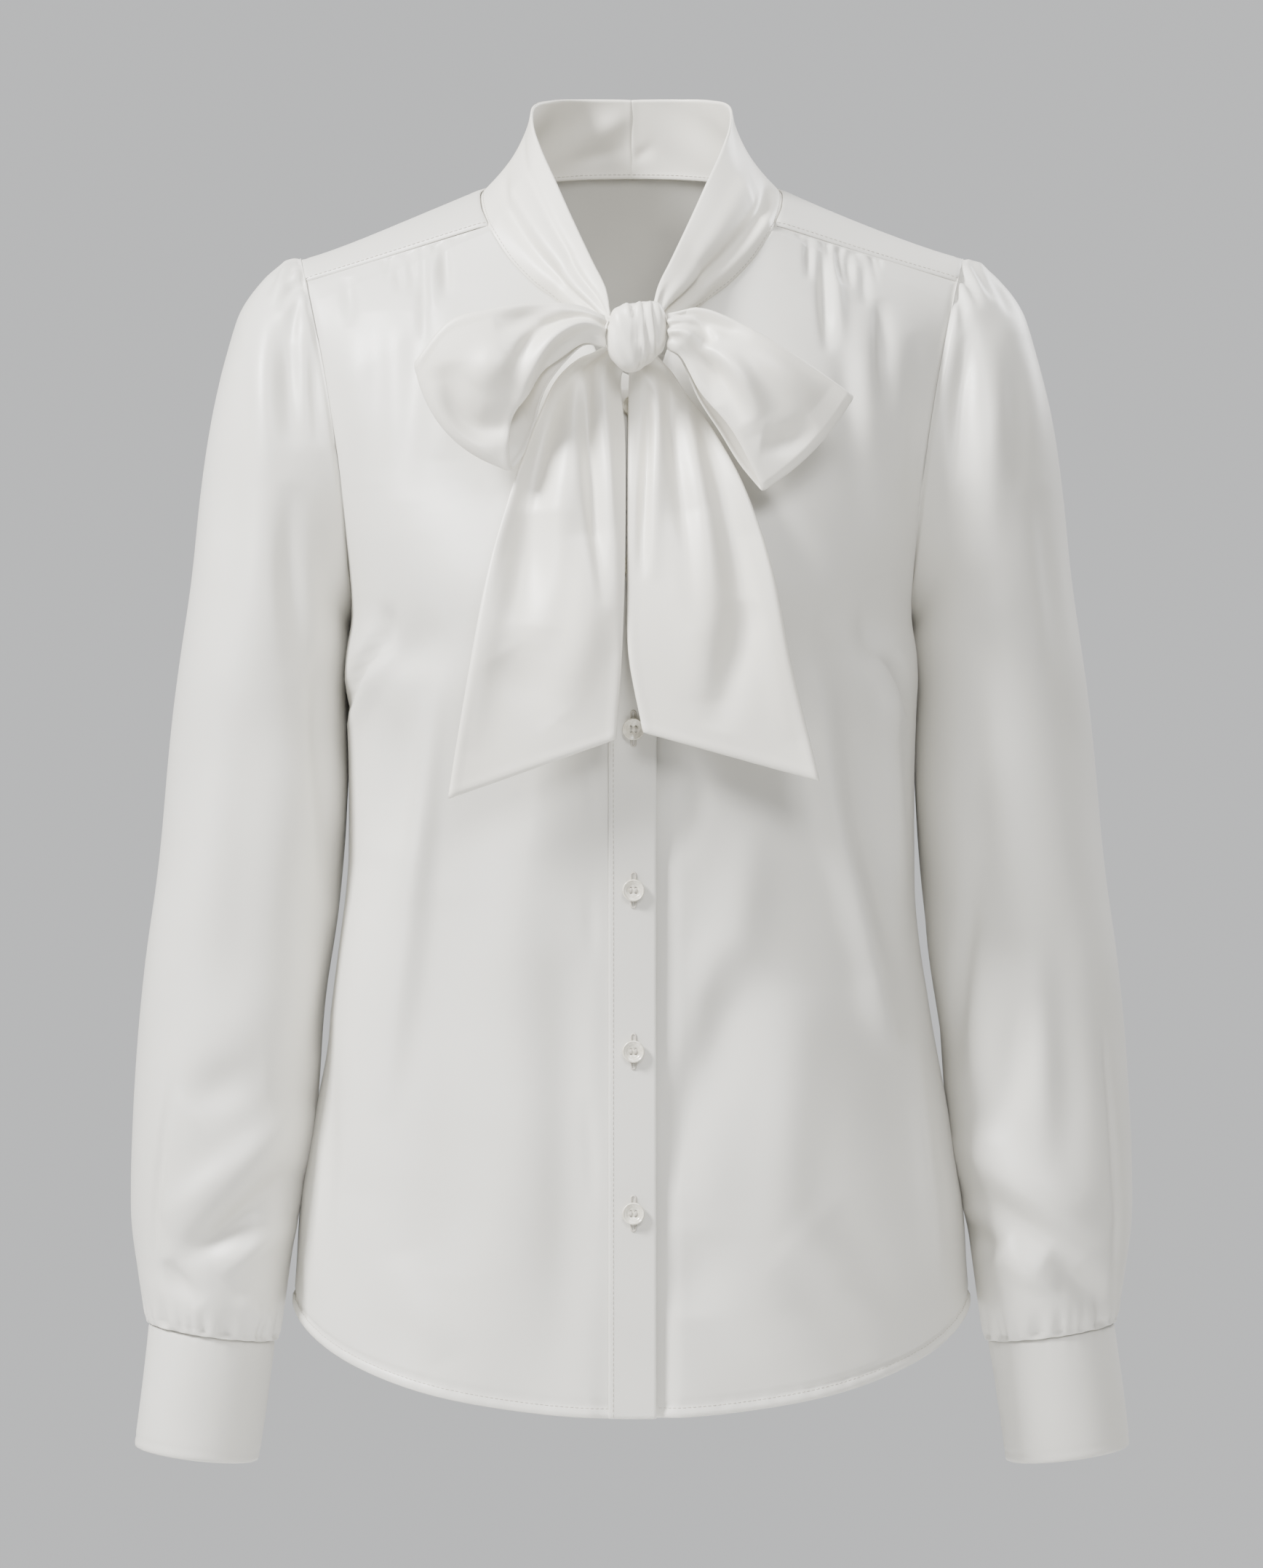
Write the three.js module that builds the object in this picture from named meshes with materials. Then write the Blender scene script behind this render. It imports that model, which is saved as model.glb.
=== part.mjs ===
// Women's satin blouse with a tie-neck bow, worn shape, hollow, sizes in millimetres.
// The front looks along -Y, +Z is up, and the origin is the middle of the neck base.
// "Right" and "left" are the wearer's: the right front is at -X.

import * as THREE from 'three';

// Driving sizes
const cloth = 1.2;
const doubledCloth = 1.8;
const seamGap = 0.35;
const sideHemZ = -592;
const frontHemDrop = 49;
const backHemDrop = 56;
const armholeX = 162.25;
const armholeZ = -130.5;
const armholeHalfHeight = 93.5;
const armholeHalfDepth = 52;
const armholeLean = 14.25;
const armholeScoop = 5.5;
const yokeFrontAngle = 31.4;
const yokeBackAngle = -66;
const backSeamZ = -78;
const lapRight = 12.5;
const lapLeft = 10;
const placketWidth = 24;
const bandShare = 0.15;
const lapTopZ = -113;
const tuckDepth = 2.8;
const yokeEndY = -47;
const rightGatherX = 108;
const leftGatherX = 114;
const gatherHalfWidth = 24;
const bustX = 86;
const bustZ = -228;
const bustFullness = 6;
const bustHalfWidth = 46;
const bustHalfHeight = 52;
const buttonRadius = 5.7;
const buttonHeight = 2.4;
const buttonShank = 0.7;
const buttonPitch = 82.7;
const firstButtonZ = -123;
const buttonCount = 6;
const buttonX = 1;
const loopY = -137;
const knotCentre = new THREE.Vector3(2.6, -135, -89.6);
const knotHalf = new THREE.Vector3(15.4, 13, 17.6);

// How finely each piece is cut into faces
const yokeSteps = 14;
const frontArmSteps = 12;
const backArmSteps = 9;
const sideSteps = 11;
const frontColumns = 18;
const backColumns = 18;
const yokeAcross = 5;
const sleeveRings = 15;
const cuffColumns = 26;

// Body sections: height, half width at the side seam, depth to the front and back, squareness
const bodySections = table('z half front back square', [
  [-23, 138, 58, 60, 2.2],
  [-40, 177, 67, 72, 2.2],
  [-57, 180, 78, 88, 2.2],
  [-90, 180, 96, 102, 2.3],
  [-121, 176, 107, 107, 2.4],
  [-155, 168, 116, 111, 2.4],
  [-190, 155, 124, 112, 2.5],
  [-224, 148, 128, 110, 2.5],
  [-252, 151, 126, 106, 2.5],
  [-300, 150.5, 119, 99, 2.4],
  [-350, 150.5, 114, 96, 2.35],
  [-384, 151.5, 112, 98, 2.3],
  [-440, 159, 112, 104, 2.3],
  [-496, 169.5, 114, 111, 2.3],
  [-540, 176.5, 116, 115, 2.3],
  [-592, 179, 118, 118, 2.3],
  [-650, 180, 119, 120, 2.3],
]);

// Neck seam from the centre back to the front of the yoke
const backNeck = table('at x y z', [
  [0, 0, 62, 15.5],
  [0.25, 30, 59.5, 14.5],
  [0.5, 55, 47, 11],
  [0.68, 71, 27, 6],
  [0.84, 80, 0, 0],
  [0.93, 79.5, -27, -11],
  [1, 75.5, -47, -23],
]);

// Neck seam on the fronts, down to where the laps begin
const frontNeck = table('at x z', [
  [0, 75.5, -23],
  [0.17, 71, -31.5],
  [0.33, 63, -44],
  [0.5, 50.5, -57.5],
  [0.67, 36, -69],
  [0.84, 21, -88],
  [1, 11.5, -113],
]);

// Sleeve rings: inner and outer edge seen from the front, half depth, middle in Y
const sleeveSections = table('at innerX innerZ outerX outerZ depth middleY', [
  [0, 148, -224, 176.5, -37, 52, 0],
  [0.05, 149.4, -226.5, 186, -41.5, 53, 0],
  [0.1, 150.8, -230, 199, -52, 54.5, 0],
  [0.17, 152.5, -237, 211, -74, 56.5, 0],
  [0.25, 153.3, -249, 221, -112, 58, -1],
  [0.34, 153.6, -270, 228.5, -165, 58.5, -2],
  [0.43, 153.6, -300, 235, -222, 57.5, -3],
  [0.52, 154, -338, 241.8, -285, 55.5, -5],
  [0.62, 160, -392, 250, -358, 52, -8],
  [0.72, 166, -440, 257.5, -420, 49.5, -10],
  [0.82, 173, -503, 264, -485, 47.5, -12],
  [0.9, 181, -552, 264, -540, 45, -13],
  [0.96, 186.5, -588, 260, -577, 39, -13],
  [1, 189.9, -611.95, 256.85, -601.95, 33.5, -13],
]);

// The cuff, from its seam to its lower edge
const cuffSections = table('at innerX innerZ outerX outerZ depth middleY', [
  [0, 190, -612.3, 256.9, -602.3, 33.6, -13],
  [1, 199, -676.5, 265, -668, 34, -14],
]);

// Top fold of the collar band, from the centre back to the knot, with how far the band bulges out
const collarTop = table('at x y z bulge', [
  [0, 0, 49, 56.3, 1],
  [0.16, 27, 45, 56, 1],
  [0.3, 43, 31, 53.5, 0],
  [0.42, 52.5, 8, 47.5, -5],
  [0.52, 53, -12, 35, -5],
  [0.6, 48, -33, 18.5, 0],
  [0.68, 40.5, -55, 0, 3],
  [0.77, 31, -77, -23, 5],
  [0.86, 20.5, -97, -47, 5],
  [0.93, 13.5, -108, -62, 3],
  [1, 7, -121.4, -76, 1],
]);

// Each bow loop seen from the front, from the knot to its outer fold, with its half depth
const rightLoop = table('out topX topZ lowX lowZ half', [
  [0, -13.4, -79, -13.4, -95, 3.4],
  [0.14, -27, -73.5, -25, -107, 6],
  [0.34, -48, -72.5, -38, -121, 10],
  [0.58, -71, -76, -48, -137, 13],
  [0.8, -93, -82.5, -55, -149, 11],
  [1, -110.5, -103, -61, -158, 5.2],
]);
const leftLoop = table('out topX topZ lowX lowZ half', [
  [0, 18.6, -78, 18.6, -96, 3.4],
  [0.14, 33, -76.5, 25, -107, 6],
  [0.34, 50, -80.5, 34, -121, 10],
  [0.58, 72, -93, 45, -138, 13],
  [0.8, 95, -107.5, 55, -154, 11],
  [1, 113, -120, 66.5, -168, 5.2],
]);

// Each tail seen from the front, from under the knot to its end, with its depth in Y
const rightTail = table('at leftX leftZ rightX rightZ y', [
  [0, -12.5, -92.5, -3.6, -102, -124.2],
  [0.1, -34, -105.5, -5.4, -112, -121.5],
  [0.22, -46, -128, -3.4, -135, -123.5],
  [0.38, -60, -165, -3, -168, -133.5],
  [0.56, -73, -210, -3.6, -212, -140],
  [0.76, -82, -257, -5, -252, -143],
  [1, -92.8, -324, -8, -294, -142],
]);
const leftTail = table('at leftX leftZ rightX rightZ y', [
  [0, -1, -103, 11.5, -97, -123],
  [0.1, -1.6, -112, 22, -110, -121.5],
  [0.22, -1.8, -135, 41, -135, -123.5],
  [0.38, -2, -168, 57, -165, -133.5],
  [0.56, -2, -212, 71.5, -208, -140],
  [0.76, -1.4, -250, 81, -256, -143],
  [1, 6, -290.5, 95, -315, -142],
]);

// Soft folds in the fronts: distance from the middle at the top and foot, span, half width, depth
const rightFrontFolds = table('topX footX topZ footZ width depth', [
  [104, 103, -30, -75, 4, -2.6],
  [117, 114, -36, -100, 5, 2.4],
  [88, 92, -30, -60, 4, -2],
  [96, 104, -250, -470, 15, 3],
  [132, 128, -60, -190, 9, -2.5],
  [128, 140, -280, -420, 12, -3],
  [60, 66, -440, -641, 16, -2.5],
]);
const leftFrontFolds = table('topX footX topZ footZ width depth', [
  [101, 99, -32, -175, 5, -4],
  [126, 124, -44, -180, 5, -2.6],
  [113, 112, -36, -90, 5, 2.2],
  [136, 132, -46, -120, 5, 2],
  [100, 118, -230, -400, 12, 3.5],
  [60, 20, -300, -420, 12, -3],
  [80, 22, -430, -560, 14, -3],
  [120, 90, -520, -600, 16, 3],
]);
const backFolds = table('topX footX topZ footZ width depth', [
  [12, 14, -85, -300, 6, 3],
  [-12, -15, -85, -310, 6, 3],
  [70, 58, -250, -420, 16, -3],
  [-64, -52, -260, -430, 16, -3],
  [100, 118, -360, -600, 18, 3],
  [-96, -112, -370, -610, 18, 3],
]);

// Soft folds along the sleeves: angle from the outer side, front positive, span down the sleeve
const rightSleeveFolds = table('topAngle footAngle top foot width depth', [
  [72, 66, 0.12, 0.62, 13, -3.5],
  [30, 38, 0.62, 0.97, 13, 3.5],
  [16, 12, 0.7, 0.99, 9, -3.5],
  [118, 60, 0.74, 0.92, 14, 4],
  [122, 70, 0.82, 0.96, 12, -3.5],
  [-60, -52, 0.2, 0.7, 15, -3],
  [-120, -70, 0.75, 0.95, 15, 3.5],
]);
const leftSleeveFolds = table('topAngle footAngle top foot width depth', [
  [78, 84, 0.12, 0.6, 12, -3.5],
  [44, 50, 0.15, 0.6, 12, 2.5],
  [18, 14, 0.64, 0.99, 9, -3.5],
  [124, 50, 0.76, 0.93, 14, 4],
  [126, 62, 0.8, 0.97, 12, -4],
  [-66, -58, 0.2, 0.7, 15, -3],
  [-110, -64, 0.72, 0.94, 15, 3.5],
]);

const gatherDepth = 1.3;
const headGatherSpan = 0.17;
const cuffGatherSpan = 0.12;

function table(columns, rows) {
  const names = columns.split(' ');
  return rows.map((row) => Object.fromEntries(names.map((name, i) => [name, row[i]])));
}

// A smooth value of one column of a table, between its rows
function read(rows, key, column, value) {
  const last = rows.length - 1;
  let i = 0;
  const rising = rows[last][key] > rows[0][key];
  while (i < last - 1 && (rising ? value > rows[i + 1][key] : value < rows[i + 1][key])) i++;
  const slope = (k) => {
    const low = Math.max(k - 1, 0);
    const high = Math.min(k + 1, last);
    return (rows[high][column] - rows[low][column]) / (rows[high][key] - rows[low][key]);
  };
  const span = rows[i + 1][key] - rows[i][key];
  const t = Math.min(Math.max((value - rows[i][key]) / span, 0), 1);
  const start = (1 + 2 * t) * (1 - t) * (1 - t) * rows[i][column];
  const end = t * t * (3 - 2 * t) * rows[i + 1][column];
  const leave = t * (1 - t) * (1 - t) * span * slope(i);
  const arrive = t * t * (t - 1) * span * slope(i + 1);
  return start + end + leave + arrive;
}

function mix(a, b, t) {
  return a + (b - a) * t;
}

function smooth(low, high, value) {
  const t = Math.min(Math.max((value - low) / (high - low), 0), 1);
  return t * t * (3 - 2 * t);
}

function vector(x, y, z) {
  return new THREE.Vector3(x, y, z);
}

// A soft hump one wide, 1 in the middle and 0 at both ends
function hump(distance, width) {
  return Math.exp(-((distance / width) ** 2));
}

// Height of the folds of one table at a place across and along the cloth
function foldHeight(folds, across, along, names) {
  let height = 0;
  for (const fold of folds) {
    const t = (along - fold[names.start]) / (fold[names.end] - fold[names.start]);
    if (t < 0 || t > 1) continue;
    const centre = mix(fold[names.from], fold[names.to], t);
    const fade = Math.sin(Math.PI * t) ** 0.6;
    height += fold.depth * fade * hump(across - centre, fold.width);
  }
  return height;
}

const bodyFoldNames = { start: 'topZ', end: 'footZ', from: 'topX', to: 'footX' };
const sleeveFoldNames = { start: 'top', end: 'foot', from: 'topAngle', to: 'footAngle' };

// Surface normals of a grid of points, rows by columns
function gridNormals(grid, wrap) {
  const rows = grid.length;
  const columns = grid[0].length;
  return grid.map((row, i) => row.map((_, j) => {
    const up = grid[Math.max(i - 1, 0)][j];
    const down = grid[Math.min(i + 1, rows - 1)][j];
    const before = wrap ? row[(j + columns - 1) % columns] : row[Math.max(j - 1, 0)];
    const after = wrap ? row[(j + 1) % columns] : row[Math.min(j + 1, columns - 1)];
    const along = down.clone().sub(up);
    const across = after.clone().sub(before);
    return along.cross(across).normalize();
  }));
}

function movedOut(grid, distance, wrap = false) {
  const normals = gridNormals(grid, wrap);
  return grid.map((row, i) => row.map((point, j) => (
    point.clone().addScaledVector(normals[i][j], distance)
  )));
}

// A closed wall between an outer and an inner grid of points
function closeWall(outer, inner, wrap) {
  const rows = outer.length;
  const columns = outer[0].length;
  const points = [...outer.flat(), ...inner.flat()];
  const shift = rows * columns;
  const at = (layer, i, j) => layer * shift + i * columns + (j % columns);
  const faces = [];
  const quad = (a, b, c, d) => faces.push(a, b, c, a, c, d);
  const lastColumn = wrap ? columns : columns - 1;
  for (let i = 0; i < rows - 1; i++) {
    for (let j = 0; j < lastColumn; j++) {
      quad(at(0, i, j), at(0, i + 1, j), at(0, i + 1, j + 1), at(0, i, j + 1));
      quad(at(1, i, j), at(1, i, j + 1), at(1, i + 1, j + 1), at(1, i + 1, j));
    }
  }
  for (let j = 0; j < lastColumn; j++) {
    quad(at(0, 0, j), at(0, 0, j + 1), at(1, 0, j + 1), at(1, 0, j));
    quad(at(0, rows - 1, j + 1), at(0, rows - 1, j), at(1, rows - 1, j), at(1, rows - 1, j + 1));
  }
  if (!wrap) {
    for (let i = 0; i < rows - 1; i++) {
      quad(at(0, i + 1, 0), at(0, i, 0), at(1, i, 0), at(1, i + 1, 0));
      const j = columns - 1;
      quad(at(0, i, j), at(0, i + 1, j), at(1, i + 1, j), at(1, i, j));
    }
  }
  return solid(points, faces);
}

// A geometry with its faces turned so that they point out
function solid(points, faces) {
  let volume = 0;
  for (let i = 0; i < faces.length; i += 3) {
    const [a, b, c] = [points[faces[i]], points[faces[i + 1]], points[faces[i + 2]]];
    volume += a.dot(b.clone().cross(c));
  }
  const turned = volume < 0 ? faces.slice().reverse() : faces;
  const geometry = new THREE.BufferGeometry();
  geometry.setAttribute('position', new THREE.Float32BufferAttribute(points.flatMap((p) => p.toArray()), 3));
  geometry.setIndex(turned);
  geometry.computeVertexNormals();
  return geometry;
}

// A cloth wall whose inner side lies behind the given outer points
function clothWall(outer, thickness, turn) {
  return closeWall(outer, movedOut(outer, -thickness * turn), false);
}

// Armhole seam: the angle runs from the shoulder point, 90 at the front and -90 at the back
function armhole(angle, side) {
  const turn = THREE.MathUtils.degToRad(angle);
  const x = armholeX + armholeLean * Math.cos(turn) - armholeScoop * Math.sin(turn) ** 2;
  const y = -armholeHalfDepth * Math.sin(turn);
  return vector(side * x, y, armholeZ + armholeHalfHeight * Math.cos(turn));
}

const yokeAngles = steps(yokeSteps).map((t) => mix(yokeFrontAngle, yokeBackAngle, t));
const frontArmAngles = steps(frontArmSteps).map((t) => mix(yokeFrontAngle, 180, t));
const backArmAngles = steps(backArmSteps).map((t) => mix(yokeBackAngle, -180, t));

function steps(count) {
  return Array.from({ length: count + 1 }, (_, i) => i / count);
}

// Half width of the body section, which passes through the armhole where there is one
function sectionHalf(z, depth, square) {
  const top = armholeZ + armholeHalfHeight * Math.cos(THREE.MathUtils.degToRad(yokeFrontAngle));
  if (z >= top || z <= armholeZ - armholeHalfHeight) return read(bodySections, 'z', 'half', z);
  const angle = THREE.MathUtils.radToDeg(Math.acos((z - armholeZ) / armholeHalfHeight));
  const seam = armhole(angle, 1);
  const share = 1 - (Math.abs(seam.y) / depth) ** square;
  return seam.x / share ** (1 / square);
}

// Depth of the body surface, towards the front or the back, at a place seen from the front
function bodyDepth(x, z, direction) {
  const depth = read(bodySections, 'z', direction, z);
  const square = read(bodySections, 'z', 'square', z);
  const share = Math.min(Math.abs(x) / sectionHalf(z, depth, square), 1);
  return depth * (1 - share ** square) ** (1 / square);
}

function frontY(x, z) {
  const bust = bustFullness * hump(Math.abs(x) - bustX, bustHalfWidth)
    * hump(z - bustZ, bustHalfHeight);
  return -bodyDepth(x, z, 'front') - bust;
}

// Hem height at a share of the half width
function hemZ(share, drop) {
  return sideHemZ - drop * Math.max(1 - share ** 2, 0) ** 0.6;
}

// One front from its lap and neck edge to its armhole and side seam
function frontGrid(side, lap, folds, gathers) {
  const rows = frontArmSteps + sideSteps;
  const grid = [];
  for (let i = 0; i <= rows; i++) {
    const onArm = i <= frontArmSteps;
    const down = i / frontArmSteps;
    const low = (i - frontArmSteps) / sideSteps;
    const outerZ = mix(armhole(180, 1).z, sideHemZ, low);
    const outer = onArm ? armhole(frontArmAngles[i], 1)
      : vector(read(bodySections, 'z', 'half', outerZ), 0, outerZ);
    let innerX = -lap;
    let innerZ = mix(lapTopZ, hemZ(0, frontHemDrop), low);
    if (onArm) {
      innerX = i === frontArmSteps ? -lap : read(frontNeck, 'at', 'x', down);
      innerZ = read(frontNeck, 'at', 'z', down);
    }
    const band = onArm ? (outer.x - innerX) * bandShare : placketWidth;
    const bandReach = band / (outer.x - innerX);
    const levelled = smooth(frontArmSteps / 2, frontArmSteps, i);
    const row = [];
    for (let j = 0; j <= frontColumns; j++) {
      const share = (j - 2) / (frontColumns - 2);
      const x = j <= 2 ? innerX + (band * j) / 2
        : mix(innerX + band, outer.x, Math.sin((share * Math.PI) / 2));
      const across = (x - innerX) / (outer.x - innerX);
      const pastBand = Math.max((across - bandReach) / (1 - bandReach), 0);
      const level = mix(across, pastBand, levelled);
      const hemShape = Math.max(1 - Math.max(x / outer.x, 0) ** 2, 0) ** 0.6;
      const sag = mix(1 - level, hemShape, smooth(0.5, 1, i / rows));
      const z = mix(outer.z, innerZ, sag);
      const seamY = mix(frontY(innerX, innerZ), outer.y, across);
      const bodyY = j === frontColumns ? outer.y : frontY(x, z);
      let y = i === 0 ? mix(yokeEndY, outer.y, across) : mix(seamY, bodyY, smooth(0, 4, i));
      const edge = smooth(0, 1.5, i) * smooth(0, 2, frontColumns - j);
      y -= edge * foldHeight(folds, x, z, bodyFoldNames);
      const puff = j % 2 ? gatherDepth : -gatherDepth;
      const gathered = hump(x - gathers, gatherHalfWidth) * (i === 1 ? 1 : 0.5) * (i > 0 && i < 3 ? 1 : 0);
      y -= puff * gathered * smooth(0, 2, frontColumns - j);
      row.push(vector(side * x, y, z));
    }
    grid.push(row);
  }
  return grid;
}

// The left front lies under the right one at the lap
function tuckUnder(grid) {
  return grid.map((row) => row.map((point) => {
    const tuck = tuckDepth * (1 - smooth(15, 27, point.x)) * (1 - smooth(-100, -70, point.z));
    return point.clone().add(vector(0, tuck, 0));
  }));
}

// Seams are left open by moving the edge rows and columns of a grid inwards
function trimmed(grid, amounts) {
  const rows = grid.length - 1;
  const columns = grid[0].length - 1;
  const toward = (from, to, gap) => from.clone().addScaledVector(to.clone().sub(from).normalize(), gap);
  const copy = grid.map((row) => row.map((point) => point.clone()));
  for (let j = 0; j <= columns; j++) {
    if (amounts.top) copy[0][j] = toward(grid[0][j], grid[1][j], amounts.top);
    if (amounts.foot) copy[rows][j] = toward(grid[rows][j], grid[rows - 1][j], amounts.foot);
  }
  const sideways = copy.map((row) => row.map((point) => point.clone()));
  for (let i = 0; i <= rows; i++) {
    if (amounts.first) copy[i][0] = toward(sideways[i][0], sideways[i][1], amounts.first);
    if (amounts.last) {
      copy[i][columns] = toward(sideways[i][columns], sideways[i][columns - 1], amounts.last);
    }
  }
  return copy;
}

// Seam between the yoke and the back, from one armhole to the other
function backSeam(share) {
  const end = armhole(yokeBackAngle, 1);
  const across = Math.sin((share * Math.PI) / 2);
  const x = end.x * across;
  const z = mix(backSeamZ, end.z, across ** 2);
  const y = Math.abs(share) === 1 ? end.y : bodyDepth(x, z, 'back');
  return vector(x, y, z);
}

function backGrid() {
  const rows = backArmSteps + sideSteps;
  const grid = [];
  for (let i = 0; i <= rows; i++) {
    const low = (i - backArmSteps) / sideSteps;
    const outerZ = mix(armhole(180, 1).z, sideHemZ, low);
    const outer = i <= backArmSteps ? armhole(backArmAngles[i], 1)
      : vector(read(bodySections, 'z', 'half', outerZ), 0, outerZ);
    const middleZ = mix(backSeamZ, hemZ(0, backHemDrop), i / rows);
    const row = [];
    for (let j = 0; j <= backColumns; j++) {
      const share = (2 * j) / backColumns - 1;
      const across = Math.sin((share * Math.PI) / 2);
      const x = outer.x * across;
      const hemShape = Math.max(1 - across ** 2, 0) ** 0.6;
      const sag = mix(1 - across ** 2, hemShape, smooth(0.5, 1, i / rows));
      const z = mix(outer.z, middleZ, sag);
      const atEdge = Math.abs(share) === 1;
      let y = atEdge ? outer.y : bodyDepth(x, z, 'back');
      if (!atEdge) y += smooth(0, 2, i) * foldHeight(backFolds, x, z, bodyFoldNames);
      row.push(i === 0 ? backSeam(share) : vector(x, y, z));
    }
    grid.push(row);
  }
  return grid;
}

function neckBack(share, side) {
  const value = (column) => read(backNeck, 'at', column, share);
  return vector(side * value('x'), value('y'), value('z'));
}

// The yoke, from the left front seam round the back of the neck to the right one
function yokeGrid() {
  const half = backColumns / 2;
  const stations = [];
  yokeAngles.forEach((angle, i) => {
    const turn = i / yokeSteps;
    stations.push({ neck: 1 - 0.5 * turn, outer: armhole(angle, 1), bulge: 13 * smooth(0.35, 1, turn) });
  });
  for (let k = 1; k <= half; k++) {
    const share = 1 - k / half;
    const neck = 0.5 * share;
    stations.push({ neck, outer: backSeam(share), bulge: mix(7, 13, share) });
  }
  const cross = ({ neck, outer, bulge }, side) => steps(yokeAcross).map((t) => {
    const start = neckBack(neck, side);
    const end = vector(side * outer.x, outer.y, outer.z);
    const lift = bulge * 4 * t * (1 - t);
    return start.lerp(end, t).add(vector(0, 0.8 * lift, 0.6 * lift));
  });
  const right = stations.map((station) => cross(station, -1));
  const left = stations.slice(0, -1).reverse().map((station) => cross(station, 1));
  return [...right, ...left];
}

// A point of the sleeve surface at a share down its length and an angle from its outer side
function sleevePoint(sections, share, angle, swell) {
  const value = (column) => read(sections, 'at', column, share);
  const inner = vector(value('innerX'), value('middleY'), value('innerZ'));
  const outer = vector(value('outerX'), value('middleY'), value('outerZ'));
  const turn = THREE.MathUtils.degToRad(angle);
  const middle = inner.clone().lerp(outer, 0.5);
  const reach = outer.clone().sub(inner).multiplyScalar(0.5);
  const length = reach.length();
  reach.multiplyScalar((Math.cos(turn) * (length + swell)) / length);
  const point = middle.add(reach);
  point.y -= (value('depth') + swell) * Math.sin(turn);
  return point;
}

const sleeveAngles = [
  ...yokeAngles.slice().reverse(),
  ...frontArmAngles.slice(1),
  ...backArmAngles.slice(1, -1).reverse().map((angle) => angle + 360),
];

function sleeveGrid(side, folds) {
  return steps(sleeveRings).map((step, i) => {
    const share = step ** 1.15;
    return sleeveAngles.map((angle, j) => {
      const signed = angle > 180 ? angle - 360 : angle;
      let swell = smooth(0, 2, i) * smooth(0, 1, sleeveRings - i)
        * foldHeight(folds, signed, share, sleeveFoldNames);
      const puff = j % 2 ? 1 : -1;
      const nearHead = (1 - smooth(0, headGatherSpan, share)) * hump(signed - 12, 55);
      const nearCuff = smooth(1 - cuffGatherSpan, 1, share);
      if (i > 0 && i < sleeveRings) swell += puff * gatherDepth * (nearHead + 1.3 * nearCuff);
      const point = sleevePoint(sleeveSections, share, angle, swell);
      const seam = armhole(signed, 1);
      point.lerp(seam, 1 - smooth(0, 3, i));
      if (i === 0) point.x += seamGap;
      if (i === 0) point.z -= seamGap * smooth(120, 180, Math.abs(signed));
      point.x *= side;
      return point;
    });
  });
}

// A tube wall whose inner side keeps to the plane of its first and last rings
function tubeWall(outer, thickness) {
  const normals = gridNormals(outer, true);
  const last = outer.length - 1;
  const sign = outwardSign(outer, normals);
  const inner = outer.map((ring, i) => ring.map((point, j) => {
    const normal = normals[i][j].clone().multiplyScalar(sign);
    if (i === 0 || i === last) {
      const centre = ringCentre(ring);
      normal.copy(point).sub(centre).normalize();
    }
    return point.clone().addScaledVector(normal, -thickness);
  }));
  return closeWall(outer, inner, true);
}

function ringCentre(ring) {
  const sum = ring.reduce((total, point) => total.add(point), vector(0, 0, 0));
  return sum.divideScalar(ring.length);
}

function outwardSign(grid, normals) {
  const i = Math.floor(grid.length / 2);
  const away = grid[i][0].clone().sub(ringCentre(grid[i]));
  return Math.sign(normals[i][0].dot(away));
}

function cuffGrid(side) {
  return steps(2).map((share) => steps(cuffColumns).slice(0, -1).map((turn) => {
    const point = sleevePoint(cuffSections, share, turn * 360, 0);
    point.x *= side;
    return point;
  }));
}

// One half of the collar band, from the centre back seam to the knot
function collarGrid(side) {
  const neckStations = [];
  const half = backColumns / 2;
  for (let k = 0; k < half; k++) neckStations.push(neckBack((0.5 * k) / half, side));
  for (let k = yokeSteps; k >= 0; k -= 2) neckStations.push(neckBack(1 - (0.5 * k) / yokeSteps, side));
  for (let k = 1; k <= 8; k++) {
    const down = k / frontArmSteps;
    const x = read(frontNeck, 'at', 'x', down);
    const z = read(frontNeck, 'at', 'z', down);
    neckStations.push(vector(side * x, frontY(x, z), z));
  }
  neckStations.push(vector(side * 25, -98, -77));
  neckStations.push(vector(side * 15, -112, -83.5));
  neckStations.push(vector(side * 7, -121.4, -87));
  let length = 0;
  const lengths = neckStations.map((point, i) => {
    if (i) length += point.distanceTo(neckStations[i - 1]);
    return length;
  });
  return neckStations.map((foot, i) => {
    const share = lengths[i] / length;
    const value = (column) => read(collarTop, 'at', column, share);
    const top = vector(side * value('x'), value('y'), value('z'));
    const along = neckStations[Math.min(i + 1, neckStations.length - 1)].clone()
      .sub(neckStations[Math.max(i - 1, 0)]);
    const out = along.cross(top.clone().sub(foot)).normalize().multiplyScalar(-side);
    return steps(4).map((t) => {
      const point = foot.clone().lerp(top, t);
      point.addScaledVector(out, value('bulge') * 4 * t * (1 - t));
      return point;
    });
  });
}

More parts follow.
